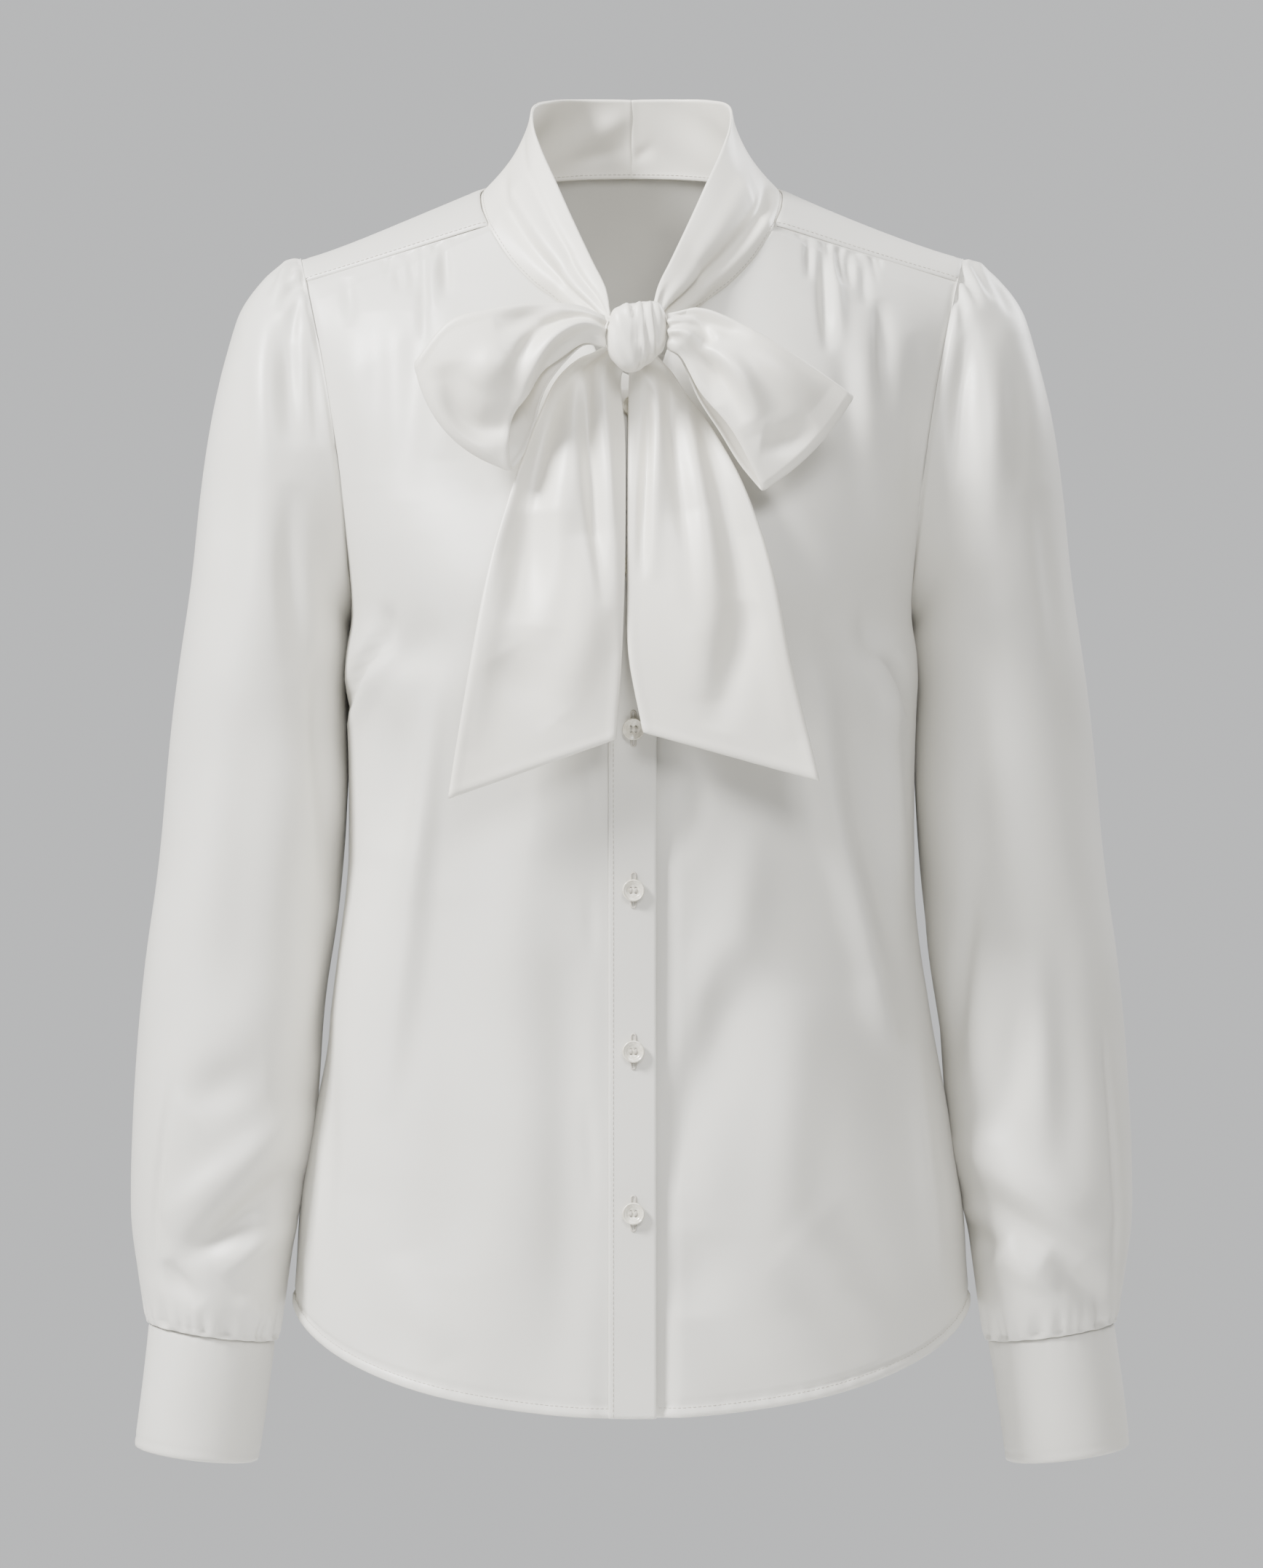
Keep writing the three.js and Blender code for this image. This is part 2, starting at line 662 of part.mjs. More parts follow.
// A bow loop: the strip leaves the knot in front, turns over at its outer fold and comes back
function loopGrid(sections, tipBulge, frontCut) {
  const turns = 22;
  return steps(turns).map((step) => {
    const out = Math.sin(step * Math.PI) ** 0.9;
    const front = step < 0.5 ? -1 : 1;
    const value = (column) => read(sections, 'out', column, out);
    const top = vector(value('topX'), 0, value('topZ'));
    const low = vector(value('lowX'), 0, value('lowZ'));
    const round = value('half') * Math.min((Math.abs(step - 0.5) * turns) / 2, 1) ** 0.5;
    const cut = step < 0.5 ? frontCut * Math.sin(Math.PI * out ** 1.5) : 0;
    const tip = low.clone().sub(top).cross(vector(0, 1, 0)).normalize();
    tip.multiplyScalar(Math.sign(tip.x * top.x) * tipBulge * out ** 3);
    return steps(6).map((t) => {
      const point = top.clone().lerp(low, t * (1 - cut));
      point.addScaledVector(tip, 4 * t * (1 - t));
      const crown = 0.55 + 0.45 * Math.sin(Math.PI * t);
      point.y = loopY + front * round * crown - 2 * (1 - out);
      return point;
    });
  });
}

// A tail of the bow hanging over the chest, in soft lengthwise folds
function tailGrid(sections, foldPhase) {
  return steps(12).map((share) => {
    const value = (column) => read(sections, 'at', column, share);
    const left = vector(value('leftX'), value('y'), value('leftZ'));
    const right = vector(value('rightX'), value('y'), value('rightZ'));
    return steps(8).map((t) => {
      const point = left.clone().lerp(right, t);
      const ripple = Math.sin((t * 2 + foldPhase) * Math.PI);
      point.y += 3.2 * ripple * (1 - 0.75 * share) * smooth(0, 0.1, share);
      return point;
    });
  });
}

// The knot: a squarish barrel with the wrapped folds of the strip
function knotSolid() {
  const around = 20;
  const rings = 9;
  const points = [];
  const faces = [];
  const spread = (value, power) => Math.sign(value) * Math.abs(value) ** power;
  for (let i = 1; i < rings; i++) {
    const lift = (i / rings - 0.5) * Math.PI;
    for (let j = 0; j < around; j++) {
      const turn = (j / around) * 2 * Math.PI;
      const wide = spread(Math.cos(lift), 0.6);
      const x = knotHalf.x * wide * spread(Math.cos(turn), 0.75);
      const y = knotHalf.y * wide * spread(Math.sin(turn), 0.75);
      const z = knotHalf.z * spread(Math.sin(lift), 0.8);
      points.push(vector(x, y, z).add(knotCentre));
    }
  }
  const foot = points.push(knotCentre.clone().add(vector(0, 0, -knotHalf.z))) - 1;
  const head = points.push(knotCentre.clone().add(vector(0, 0, knotHalf.z))) - 1;
  for (let j = 0; j < around; j++) {
    const next = (j + 1) % around;
    faces.push(foot, next, j);
    const top = (rings - 2) * around;
    faces.push(head, top + j, top + next);
    for (let i = 0; i < rings - 2; i++) {
      const low = i * around;
      const high = low + around;
      faces.push(low + j, low + next, high + next, low + j, high + next, high + j);
    }
  }
  return solid(points, faces);
}

// A sewn button: a disc with a raised rim and a dished middle
function buttonSolid() {
  const r = buttonRadius;
  const h = buttonHeight;
  const profile = [
    [0, 0],
    [r * 0.8, 0],
    [r, h * 0.45],
    [r * 0.93, h],
    [r * 0.66, h],
    [r * 0.56, h * 0.6],
    [0, h * 0.6],
  ];
  return new THREE.LatheGeometry(profile.map(([x, y]) => new THREE.Vector2(x, y)), 16);
}

const garment = new THREE.Group();
const satin = { color: '#f1efec', roughness: 0.42, metalness: 0 };
const pearl = { color: '#f3f0e8', roughness: 0.25, metalness: 0 };

function add(name, geometry, look = satin) {
  const mesh = new THREE.Mesh(geometry, new THREE.MeshStandardMaterial(look));
  mesh.name = name;
  garment.add(mesh);
  return mesh;
}

const rightFront = trimmed(frontGrid(-1, lapRight, rightFrontFolds, rightGatherX), { last: seamGap });
const leftFront = trimmed(tuckUnder(frontGrid(1, lapLeft, leftFrontFolds, leftGatherX)), { last: seamGap });
add('front_right', clothWall(rightFront, cloth, -1));
add('front_left', clothWall(leftFront, cloth, 1));

const back = trimmed(backGrid(), { top: seamGap, first: seamGap, last: seamGap });
add('back', clothWall(back, cloth, -1));
const yoke = trimmed(yokeGrid(), { top: seamGap, foot: seamGap, last: seamGap });
add('yoke', clothWall(yoke, cloth, 1));

const placketPoints = rightFront.slice(frontArmSteps).map((row) => row.slice(0, 3));
const placketOuter = movedOut(placketPoints, -seamGap - cloth);
add('placket', clothWall(placketOuter, cloth, -1));

for (const [name, side, folds] of [['right', -1, rightSleeveFolds], ['left', 1, leftSleeveFolds]]) {
  add(`sleeve_${name}`, tubeWall(sleeveGrid(side, folds), cloth));
  add(`cuff_${name}`, tubeWall(cuffGrid(side), doubledCloth));
  const band = trimmed(collarGrid(side), { top: seamGap, first: 2 * seamGap });
  add(`collar_${name}`, clothWall(band, doubledCloth, -side));
}

add('loop_right', clothWall(loopGrid(rightLoop, 11.5, 0.22), doubledCloth, 1));
add('loop_left', clothWall(loopGrid(leftLoop, 4.5, 0.1), doubledCloth, -1));
add('tail_right', clothWall(tailGrid(rightTail, 0.2), doubledCloth, 1));
add('tail_left', clothWall(tailGrid(leftTail, 0.7), doubledCloth, 1));
add('knot', knotSolid());

for (let i = 0; i < buttonCount; i++) {
  const z = firstButtonZ - i * buttonPitch;
  const button = add(`button_${i + 1}`, buttonSolid(), pearl);
  const slope = (frontY(0, z + buttonRadius) - frontY(0, z - buttonRadius)) / (2 * buttonRadius);
  button.rotation.x = Math.atan2(slope, -1);
  button.position.set(buttonX, frontY(0, z) - cloth - seamGap - buttonShank, z);
}

export default garment;
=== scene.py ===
# Satin blouse with a tie-neck bow: the looks, sewn round the frame's plain walls.
# Tables and sizes are in millimetres and become metres when a mesh is made.
# The front looks along -Y, +Z is up, and the wearer's right is at -X.

import math

import bmesh
import bpy
import numpy as np
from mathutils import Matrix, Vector
from mathutils.geometry import delaunay_2d_cdt


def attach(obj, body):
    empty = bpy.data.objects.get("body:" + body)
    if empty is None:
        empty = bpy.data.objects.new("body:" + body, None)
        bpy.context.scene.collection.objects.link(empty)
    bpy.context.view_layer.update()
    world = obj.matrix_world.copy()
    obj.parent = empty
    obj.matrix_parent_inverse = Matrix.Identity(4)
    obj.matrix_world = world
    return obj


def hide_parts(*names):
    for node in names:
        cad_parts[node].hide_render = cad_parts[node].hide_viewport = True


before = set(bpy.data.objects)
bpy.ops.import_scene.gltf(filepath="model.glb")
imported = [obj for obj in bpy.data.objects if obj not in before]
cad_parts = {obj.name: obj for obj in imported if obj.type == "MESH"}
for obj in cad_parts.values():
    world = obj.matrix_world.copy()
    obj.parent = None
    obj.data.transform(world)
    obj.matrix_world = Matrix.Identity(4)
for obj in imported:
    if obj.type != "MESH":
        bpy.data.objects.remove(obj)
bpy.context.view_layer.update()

bl_info = {
    "name": "Tie-neck satin blouse",
    "version": (1, 0, 0),
    "blender": (4, 5, 0),
    "location": "View3D > Sidebar > Blouse",
    "description": "Sews a worn, hollow satin blouse with a bow round its frame",
    "category": "Add Mesh",
}

MM = 0.001

# Sizes shared with the frame's walls
SIDE_HEM_Z = -592
FRONT_HEM_DROP = 49
BACK_HEM_DROP = 56
ARMHOLE_X = 162.25
ARMHOLE_Z = -130.5
ARMHOLE_HALF_HEIGHT = 93.5
ARMHOLE_HALF_DEPTH = 52
ARMHOLE_LEAN = 14.25
ARMHOLE_SCOOP = 5.5
YOKE_FRONT_ANGLE = 31.4
YOKE_BACK_ANGLE = -66
YOKE_END_Y = -47
BACK_SEAM_Z = -78
LAP_RIGHT = 12.5
LAP_LEFT = 10
PLACKET_WIDTH = 24
BAND_SHARE = 0.15
LAP_TOP_Z = -113
TUCK_DEPTH = 2.8
BUST_X = 86
BUST_Z = -228
BUST_FULLNESS = 6
BUST_HALF_WIDTH = 46
BUST_HALF_HEIGHT = 52
BUTTON_PITCH = 82.7
FIRST_BUTTON_Z = -123
BUTTON_COUNT = 6
BUTTON_X = 1
BUTTON_RADIUS = 5.7
BUTTON_HEIGHT = 2.4
BUTTON_STAND = 2.25
HOLE_SPACING = 2.5
HOLE_RADIUS = 0.62
BUTTONHOLE_LENGTH = 18
BUTTONHOLE_WIDTH = 2.2
PLACKET_LIFT = 1.4
YOKE_FRONT_ROWS = 64
SEAM_STITCH_INSET = 2.2
FLOOR_Z = -950
LOOP_Y = -137
KNOT_CENTRE = np.array([2.6, -135, -89.6])
KNOT_HALF = np.array([15.4, 13, 17.6])
ARM_ROWS = 12
SIDE_ROWS = 11
BACK_ARM_ROWS = 9
BAND_COLUMNS = 2
FRONT_COLUMNS = 18
SLEEVE_ROWS = 15

# Places inside the body, the collar and the bow's tails that their outsides face away from
BODY_MIDDLE = (0, 0, -330)
COLLAR_MIDDLE = (0, -10, 0)
BEHIND_TAILS = (0, 400, -200)
# The placket and the yoke show a little thicker than one layer of satin
COVER_THICKNESS = 0.9
# Stitches lie just proud of the cloth
STITCH_RISE = 0.08
BUTTONHOLE_RADIUS = 0.55
THREAD_RADIUS = 0.22
WINDING_RADIUS = 0.25
SHANK_RADIUS = 1.3
# The button's dish has its floor at this share of the button's height
DISH_SHARE = 0.62
HOLE_RIM_RADIUS = HOLE_RADIUS * 1.15
HOLE_SIDES = 16
# Rounds of easing that take the yoke's grid from straight to soft
YOKE_EASINGS = 140
# The photo's angle of view, in millimetres of lens, and the camera's height in metres
CAMERA_LENS = 111.4
CAMERA_HEIGHT = -0.3167
FLOOR_RADIUS = 1200

# Rows and columns of the grid that each piece is shaped on
FRONT_GRID = (240, 140)
PLACKET_GRID = (300, 18)
BACK_GRID = (200, 110)
YOKE_GRID = (YOKE_FRONT_ROWS, 44, 44)
SLEEVE_GRID = (170, 170)
CUFF_GRID = (44, 120)
COLLAR_GRID = (150, 40)
LOOP_GRID = (150, 44)
TAIL_GRID = (120, 50)
KNOT_GRID = (72, 120)

# Gathers: places of the first and last tuck, how many there are and how far in they run. Places
# are millimetres out from the middle on the fronts, and degrees round the sleeves.
FRONT_GATHERS = (86, 134, 9, 24)
HEAD_GATHERS = (-56, 46, 13, 20)
CUFF_GATHERS = (-178, 178, 30, 24)


def table(columns, rows):
    """Rows of numbers as one array for each named column"""
    return dict(zip(columns.split(), np.array(rows, float).T))


# Body sections: height, half width at the side seam, depth to the front and back, squareness
BODY = table("z half front back square", [
    [-23, 138, 58, 60, 2.2],
    [-40, 177, 67, 72, 2.2],
    [-57, 180, 78, 88, 2.2],
    [-90, 180, 96, 102, 2.3],
    [-121, 176, 107, 107, 2.4],
    [-155, 168, 116, 111, 2.4],
    [-190, 155, 124, 112, 2.5],
    [-224, 148, 128, 110, 2.5],
    [-252, 151, 126, 106, 2.5],
    [-300, 150.5, 119, 99, 2.4],
    [-350, 150.5, 114, 96, 2.35],
    [-384, 151.5, 112, 98, 2.3],
    [-440, 159, 112, 104, 2.3],
    [-496, 169.5, 114, 111, 2.3],
    [-540, 176.5, 116, 115, 2.3],
    [-592, 179, 118, 118, 2.3],
    [-650, 180, 119, 120, 2.3],
])
# Neck seam from the centre back to the front of the yoke, and on the fronts down to the laps
BACK_NECK = table("at x y z", [
    [0, 0, 62, 15.5],
    [0.25, 30, 59.5, 14.5],
    [0.5, 55, 47, 11],
    [0.68, 71, 27, 6],
    [0.84, 80, 0, 0],
    [0.93, 79.5, -27, -11],
    [1, 75.5, -47, -23],
])
FRONT_NECK = table("at x z", [
    [0, 75.5, -23],
    [0.17, 71, -31.5],
    [0.33, 63, -44],
    [0.5, 50.5, -57.5],
    [0.67, 36, -69],
    [0.84, 21, -88],
    [1, 11.5, -113],
])
# Sleeve rings: inner and outer edge seen from the front, half depth, middle in Y
SLEEVE = table("at innerX innerZ outerX outerZ depth middleY", [
    [0, 148, -224, 176.5, -37, 52, 0],
    [0.05, 149.4, -226.5, 186, -41.5, 53, 0],
    [0.1, 150.8, -230, 199, -52, 54.5, 0],
    [0.17, 152.5, -237, 211, -74, 56.5, 0],
    [0.25, 153.3, -249, 221, -112, 58, -1],
    [0.34, 153.6, -270, 228.5, -165, 58.5, -2],
    [0.43, 153.6, -300, 235, -222, 57.5, -3],
    [0.52, 154, -338, 241.8, -285, 55.5, -5],
    [0.62, 160, -392, 250, -358, 52, -8],
    [0.72, 166, -440, 257.5, -420, 49.5, -10],
    [0.82, 173, -503, 264, -485, 47.5, -12],
    [0.9, 181, -552, 264, -540, 45, -13],
    [0.96, 186.5, -588, 260, -577, 39, -13],
    [1, 189.9, -611.95, 256.85, -601.95, 33.5, -13],
])
CUFF = table("at innerX innerZ outerX outerZ depth middleY", [
    [0, 190, -612.3, 256.9, -602.3, 33.6, -13],
    [1, 199, -676.5, 265, -668, 34, -14],
])
# Top fold of the collar band, from the centre back to the knot, with how far the band bulges out
COLLAR_TOP = table("at x y z bulge", [
    [0, 0, 49, 56.3, 1],
    [0.16, 27, 45, 56, 1],
    [0.3, 43, 31, 53.5, 0],
    [0.42, 52.5, 8, 47.5, -5],
    [0.52, 53, -12, 35, -5],
    [0.6, 48, -33, 18.5, 0],
    [0.68, 40.5, -55, 0, 3],
    [0.77, 31, -77, -23, 5],
    [0.86, 20.5, -97, -47, 5],
    [0.93, 13.5, -108, -62, 3],
    [1, 10.5, -121.4, -76, 1],
])
# Each bow loop seen from the front, from the knot to its outer fold, with its half depth
RIGHT_LOOP = table("out topX topZ lowX lowZ half", [
    [0, -13.4, -79, -13.4, -95, 3.4],
    [0.14, -27, -73.5, -25, -95, 6],
    [0.34, -48, -72.5, -41, -113, 10],
    [0.58, -71, -76, -50, -136, 13],
    [0.8, -93, -82.5, -55, -149, 11],
    [1, -110.5, -103, -61, -158, 5.2],
])
LEFT_LOOP = table("out topX topZ lowX lowZ half", [
    [0, 18.6, -78, 18.6, -96, 3.4],
    [0.14, 33, -75, 25, -101, 6],
    [0.34, 50, -80.5, 34, -121, 10],
    [0.58, 72, -93, 45, -138, 13],
    [0.8, 95, -107.5, 55, -154, 11],
    [1, 113, -120, 66.5, -168, 5.2],
])
# Each tail seen from the front, from under the knot to its end, with its depth in Y
RIGHT_TAIL = table("at leftX leftZ rightX rightZ y", [
    [0, -12.5, -92.5, -3.6, -102, -124.2],
    [0.1, -34, -105.5, -5.4, -112, -121.5],
    [0.22, -46, -128, -3.4, -135, -123.5],
    [0.38, -60, -165, -3, -168, -133.5],
    [0.56, -73, -210, -3.6, -212, -140],
    [0.76, -82, -257, -5, -252, -143],
    [1, -92.8, -324, -8, -294, -142],
])
LEFT_TAIL = table("at leftX leftZ rightX rightZ y", [
    [0, -1, -103, 11.5, -97, -123],
    [0.1, -1.6, -112, 22, -110, -121.5],
    [0.22, -1.8, -135, 41, -135, -123.5],
    [0.38, -2, -168, 57, -165, -133.5],
    [0.56, -2, -212, 71.5, -208, -140],
    [0.76, -1.4, -250, 81, -256, -143],
    [1, 6, -290.5, 95, -315, -142],
])

# Creases given one by one. Each runs through four places, x (out from the middle) and z, seen from
# the front or back. Width and depth are a crease's own; lean makes one flank of it steeper.
CREASE = "x1 z1 x2 z2 x3 z3 x4 z4 width depth lean"
RIGHT_FRONT_CREASES = table(CREASE, [
    [98, -32, 98, -43, 97.5, -52, 97, -64, 2.6, -2.2, 0],
    [109, -34, 109.5, -50, 109, -64, 108, -88, 3, -2.2, 0],
    [104, -33, 104, -45, 104, -56, 103, -70, 3, 1.6, 0],
    [116, -37, 116, -45, 115, -52, 115, -62, 2.6, -1.4, 0],
    [123, -39, 123, -47, 122, -53, 122, -60, 2.6, -1.2, 0],
    [150, -49, 149, -58, 148, -66, 148, -78, 4, -1.4, 0],
    [112, -70, 113, -98, 115, -130, 118, -170, 9, -2.2, 0],
    [96, -60, 95, -90, 95, -120, 97, -150, 9, 1.4, 0],
    [134, -70, 133, -95, 133, -125, 134, -160, 8, -1.8, 0],
    [100, -258, 106, -330, 113, -395, 127, -490, 7.5, 4.8, 0.2],
    [113, -262, 118, -295, 121, -325, 123, -355, 13, -3.8, 0],
    [133, -359, 134, -400, 136, -445, 137, -530, 18, 4.2, 0],
    [158, -440, 159, -490, 161, -531, 162, -575, 7, -2.4, 0],
    [98, -374, 95, -430, 93, -480, 92, -570, 20, -3.4, 0],
    [60, -340, 58, -400, 56, -470, 58, -570, 16, 2.4, 0],
    [34, -400, 33, -460, 34, -530, 38, -636, 12, -2.2, 0],
    [23, -303, 20, -318, 18, -329, 17, -340, 4, -0.9, 0],
    [22, -370, 20, -383, 19, -396, 17, -407, 4, -0.9, 0],
    [23, -478, 21, -497, 19, -516, 18, -536, 4, -0.9, 0],
    [134, -262, 115, -250, 93, -245, 60, -247, 20, -3.4, 0],
    [120, -560, 112, -580, 104, -596, 94, -612, 12, 2, 0],
])
LEFT_FRONT_CREASES = table(CREASE, [
    [93, -30, 93, -38, 93, -45, 93, -54, 2.4, -1.6, 0],
    [101, -32, 101, -50, 101, -70, 102, -94, 3.2, -2.8, 0],
    [106, -36, 106.5, -52, 108, -70, 109, -90, 4, 1.6, 0],
    [109, -33, 109, -40, 109.5, -47, 110, -56, 2.4, -2, 0],
    [114, -35, 114, -42, 114.5, -49, 115, -58, 2.4, -1.6, 0],
    [121, -38, 122, -48, 122, -58, 123, -68, 3, -1.2, 0],
    [130, -62, 130, -80, 130, -98, 132, -124, 4.5, -2.6, 0.2],
    [120, -66, 120, -90, 121, -115, 124, -150, 8, 1.8, 0],
    [111, -90, 113, -120, 116, -150, 121, -195, 8, -2.4, 0],
    [148, -80, 149, -110, 148, -140, 144, -185, 6, -1.8, 0],
    [95, -240, 102, -328, 115, -380, 140, -470, 8.5, 6.4, 0.25],
    [119, -415, 124, -434, 131, -447, 139, -458, 7, 2.4, 0],
    [109, -262, 117, -322, 128, -370, 142, -430, 12, -4.6, 0],
    [134, -252, 135, -300, 138, -350, 143, -405, 5.5, 3.4, 0],
    [35, -307, 30, -325, 25, -342, 19, -359, 9, -3, 0],
    [62, -330, 58, -365, 52, -400, 46, -430, 14, 2.6, 0],
    [57, -400, 46, -437, 33, -478, 19, -527, 17, -4, 0],
    [44, -393, 36, -419, 28, -449, 19, -475, 11, 2.2, 0],
    [84, -420, 80, -470, 78, -520, 80, -590, 16, 2.6, 0],
    [33, -546, 33, -561, 32, -574, 32, -590, 16, -2, 0],
    [78, -548, 98, -566, 114, -580, 138, -602, 14, 2.2, 0],
    [147, -440, 150, -490, 155, -535, 160, -580, 6, 2.8, 0],
    [98, -540, 114, -556, 128, -570, 144, -588, 13, -1.8, 0],
    [72, -566, 90, -582, 108, -598, 126, -614, 12, -1.2, 0],
    [30, -380, 27, -430, 24, -480, 24, -560, 10, -2, 0],
    [126, -262, 105, -250, 85, -245, 58, -246, 20, -3.4, 0],
])
# Bust darts: from the side seam to the tip, a stitched line with a soft pucker at its tip
RIGHT_DART = table(CREASE, [
    [153, -284, 143, -262, 136, -250, 128, -240, 2.8, -5, 0],
    [145, -286, 138, -270, 132, -258, 124, -248, 5, 3.4, 0],
    [131, -248, 129, -240, 127, -233, 125, -224, 4.5, -4, 0],
    [150, -266, 141, -250, 135, -240, 129, -230, 5, 2.2, 0],
    [126, -262, 120, -252, 112, -244, 98, -236, 12, -3.2, 0],
])
LEFT_DART = table(CREASE, [
    [148, -284, 140, -267, 134, -254, 125, -246, 2.8, -5, 0],
    [140, -288, 134, -274, 129, -262, 122, -254, 5, 3.4, 0],
    [128, -252, 125, -243, 122, -236, 118, -227, 4.5, -4, 0],
    [147, -270, 141, -256, 136, -246, 130, -238, 5, 2.4, 0],
    [122, -262, 114, -252, 104, -246, 92, -242, 12, -2.8, 0],
])
BACK_CREASES = table(CREASE, [
    [12, -60, 13, -140, 14, -220, 15, -310, 6, 2.6, 0],
    [-12, -60, -13, -150, -14, -230, -16, -320, 6, 2.6, 0],
    [0, -60, 0, -120, 1, -190, 1, -260, 5, -2.4, 0],
    [24, -60, 26, -110, 27, -160, 28, -210, 6, -1.8, 0],
    [-24, -60, -27, -115, -28, -170, -29, -230, 6, -1.8, 0],
    [70, -250, 66, -310, 62, -360, 58, -430, 15, -3, 0],
    [-64, -260, -60, -315, -56, -370, -52, -440, 15, -3, 0],
    [92, -300, 98, -390, 106, -480, 116, -610, 17, 3, 0],
    [-90, -310, -94, -400, -102, -490, -110, -615, 17, 3, 0],
    [36, -420, 42, -480, 46, -540, 52, -640, 15, -2.4, 0],
    [-30, -400, -36, -470, -42, -540, -46, -640, 15, -2.2, 0],
    [4, -380, 2, -450, -4, -530, -6, -640, 17, 2.2, 0],
    [128, -180, 122, -215, 118, -250, 112, -300, 11, -2.4, 0],
    [-126, -180, -122, -220, -116, -255, -112, -305, 11, -2.4, 0],
    [140, -330, 118, -345, 92, -352, 64, -350, 13, -1.8, 0],
    [-140, -340, -116, -352, -90, -360, -60, -356, 13, -1.8, 0],
])
RIGHT_SLEEVE_CREASES = table(CREASE, [
    [170, -51, 177, -53, 181, -58, 185, -68, 3, -3, 0],
    [176, -39, 179, -43, 181, -48, 183, -54, 2.2, -1.8, 0],
    [183, -41, 187, -46, 190, -52, 193, -60, 2.6, -1.6, 0],
    [172, -60, 176, -64, 178, -72, 179, -84, 3, -2, 0],
    [180, -70, 180, -92, 179, -112, 177, -140, 6, -2.8, 0],
    [190, -66, 192, -90, 192, -120, 190, -160, 7, 2.2, 0],
    [168, -80, 167, -98, 166, -116, 164, -140, 4, -2, 0],
    [180, -160, 179, -195, 177, -225, 173, -262, 7, -3.4, 0.2],
    [206, -100, 210, -150, 212, -200, 214, -260, 12, -2.2, 0],
    [166, -240, 165, -290, 163, -330, 160, -380, 5, -2.6, 0],
    [200, -270, 202, -330, 206, -390, 210, -440, 14, -2.4, 0],
    [161, -387, 162, -414, 165, -437, 169, -465, 6, -2.2, 0],
    [240, -470, 245, -506, 249, -545, 252, -600, 2.4, -2, 0],
    [232, -488, 220, -478, 208, -472, 193, -470, 12, -3.6, 0],
    [246, -548, 222, -530, 197, -508, 173, -484, 12, 4.6, 0.2],
    [240, -567, 219, -555, 200, -540, 178, -518, 8, -5.4, 0],
    [218, -574, 208, -566, 196, -556, 182, -546, 8, 3.6, 0],
    [244, -566, 240, -575, 234, -582, 226, -590, 6, -3.6, 0],
    [206, -584, 203, -590, 200, -596, 198, -604, 5, 2, 0],
])
LEFT_SLEEVE_CREASES = table(CREASE, [
    [173, -40, 176, -48, 179, -56, 183, -67, 2.4, -2.6, 0],
    [178, -40, 182, -46, 186, -53, 191, -62, 2.4, -2.2, 0],
    [170, -46, 172, -56, 174, -67, 175, -80, 2.8, -2, 0],
    [185, -42, 190, -50, 195, -58, 200, -70, 3, -1.6, 0],
    [177, -70, 175, -95, 172, -120, 170, -160, 5, -3, 0],
    [199, -78, 201, -105, 202, -130, 204, -165, 8, -1.8, 0],
    [187, -80, 188, -120, 187, -160, 186, -210, 9, 2.2, 0],
    [215, -160, 219, -195, 221, -225, 222, -262, 6, -2.2, 0],
    [184, -230, 182, -290, 184, -350, 188, -410, 9, -2.6, 0],
    [181, -360, 178, -398, 175, -437, 172, -475, 5, -2.6, 0],
    [206, -420, 202, -450, 197, -477, 188, -503, 10, -3.6, 0],
    [211, -400, 212, -440, 214, -480, 214, -520, 8, 1.8, 0],
    [222, -370, 226, -430, 229, -480, 229, -535, 10, -1.8, 0],
    [246, -437, 250, -475, 253, -532, 254, -600, 2.4, -2, 0],
    [173, -503, 198, -520, 223, -538, 250, -558, 12, 4.6, 0.2],
    [176, -526, 196, -542, 216, -556, 236, -568, 8, -3.6, 0],
    [178, -546, 183, -552, 189, -559, 196, -564, 6, -3, 0],
    [194, -558, 204, -568, 214, -575, 226, -578, 8, 3, 0],
    [217, -566, 230, -574, 241, -584, 252, -594, 8, -4.6, 0],
])
SLEEVE_BACK_CREASES = table(CREASE, [
    [184, -84, 182, -140, 181, -200, 178, -260, 8, -2.8, 0],
    [205, -90, 210, -150, 212, -210, 214, -270, 14, 1.8, 0],
    [165, -330, 190, -345, 214, -352, 238, -350, 9, -2.8, 0],
    [166, -350, 188, -366, 212, -374, 240, -372, 9, 2.4, 0],
    [170, -390, 192, -404, 214, -408, 240, -402, 8, -2.2, 0],
    [182, -520, 200, -540, 222, -552, 246, -556, 9, 2.8, 0],
    [186, -545, 204, -560, 224, -570, 246, -574, 8, -2.8, 0],
    [236, -430, 242, -480, 246, -530, 248, -590, 7, -2.4, 0],
])
RIGHT_LOOP_CREASES = table(CREASE, [
    [-15, -84, -32, -87, -46, -99, -58, -126, 5, 3.6, 0.2],
    [-20, -79, -36, -81, -50, -91, -62, -112, 4, -2.4, 0],
    [-18, -90, -34, -95, -44, -110, -50, -131, 5, -3.6, 0],
    [-36, -76, -48, -79, -58, -82, -70, -85, 6, -2.6, 0],
    [-94, -104, -91, -127, -77, -138, -54, -130, 7, -4.2, 0.2],
    [-99, -112, -96, -132, -86, -146, -68, -154, 6, 2.4, 0],
    [-62, -98, -68, -104, -74, -110, -80, -116, 9, 2, 0],
    [-18, -86, -25, -88, -32, -91, -40, -98, 3, -1.4, 0],
])
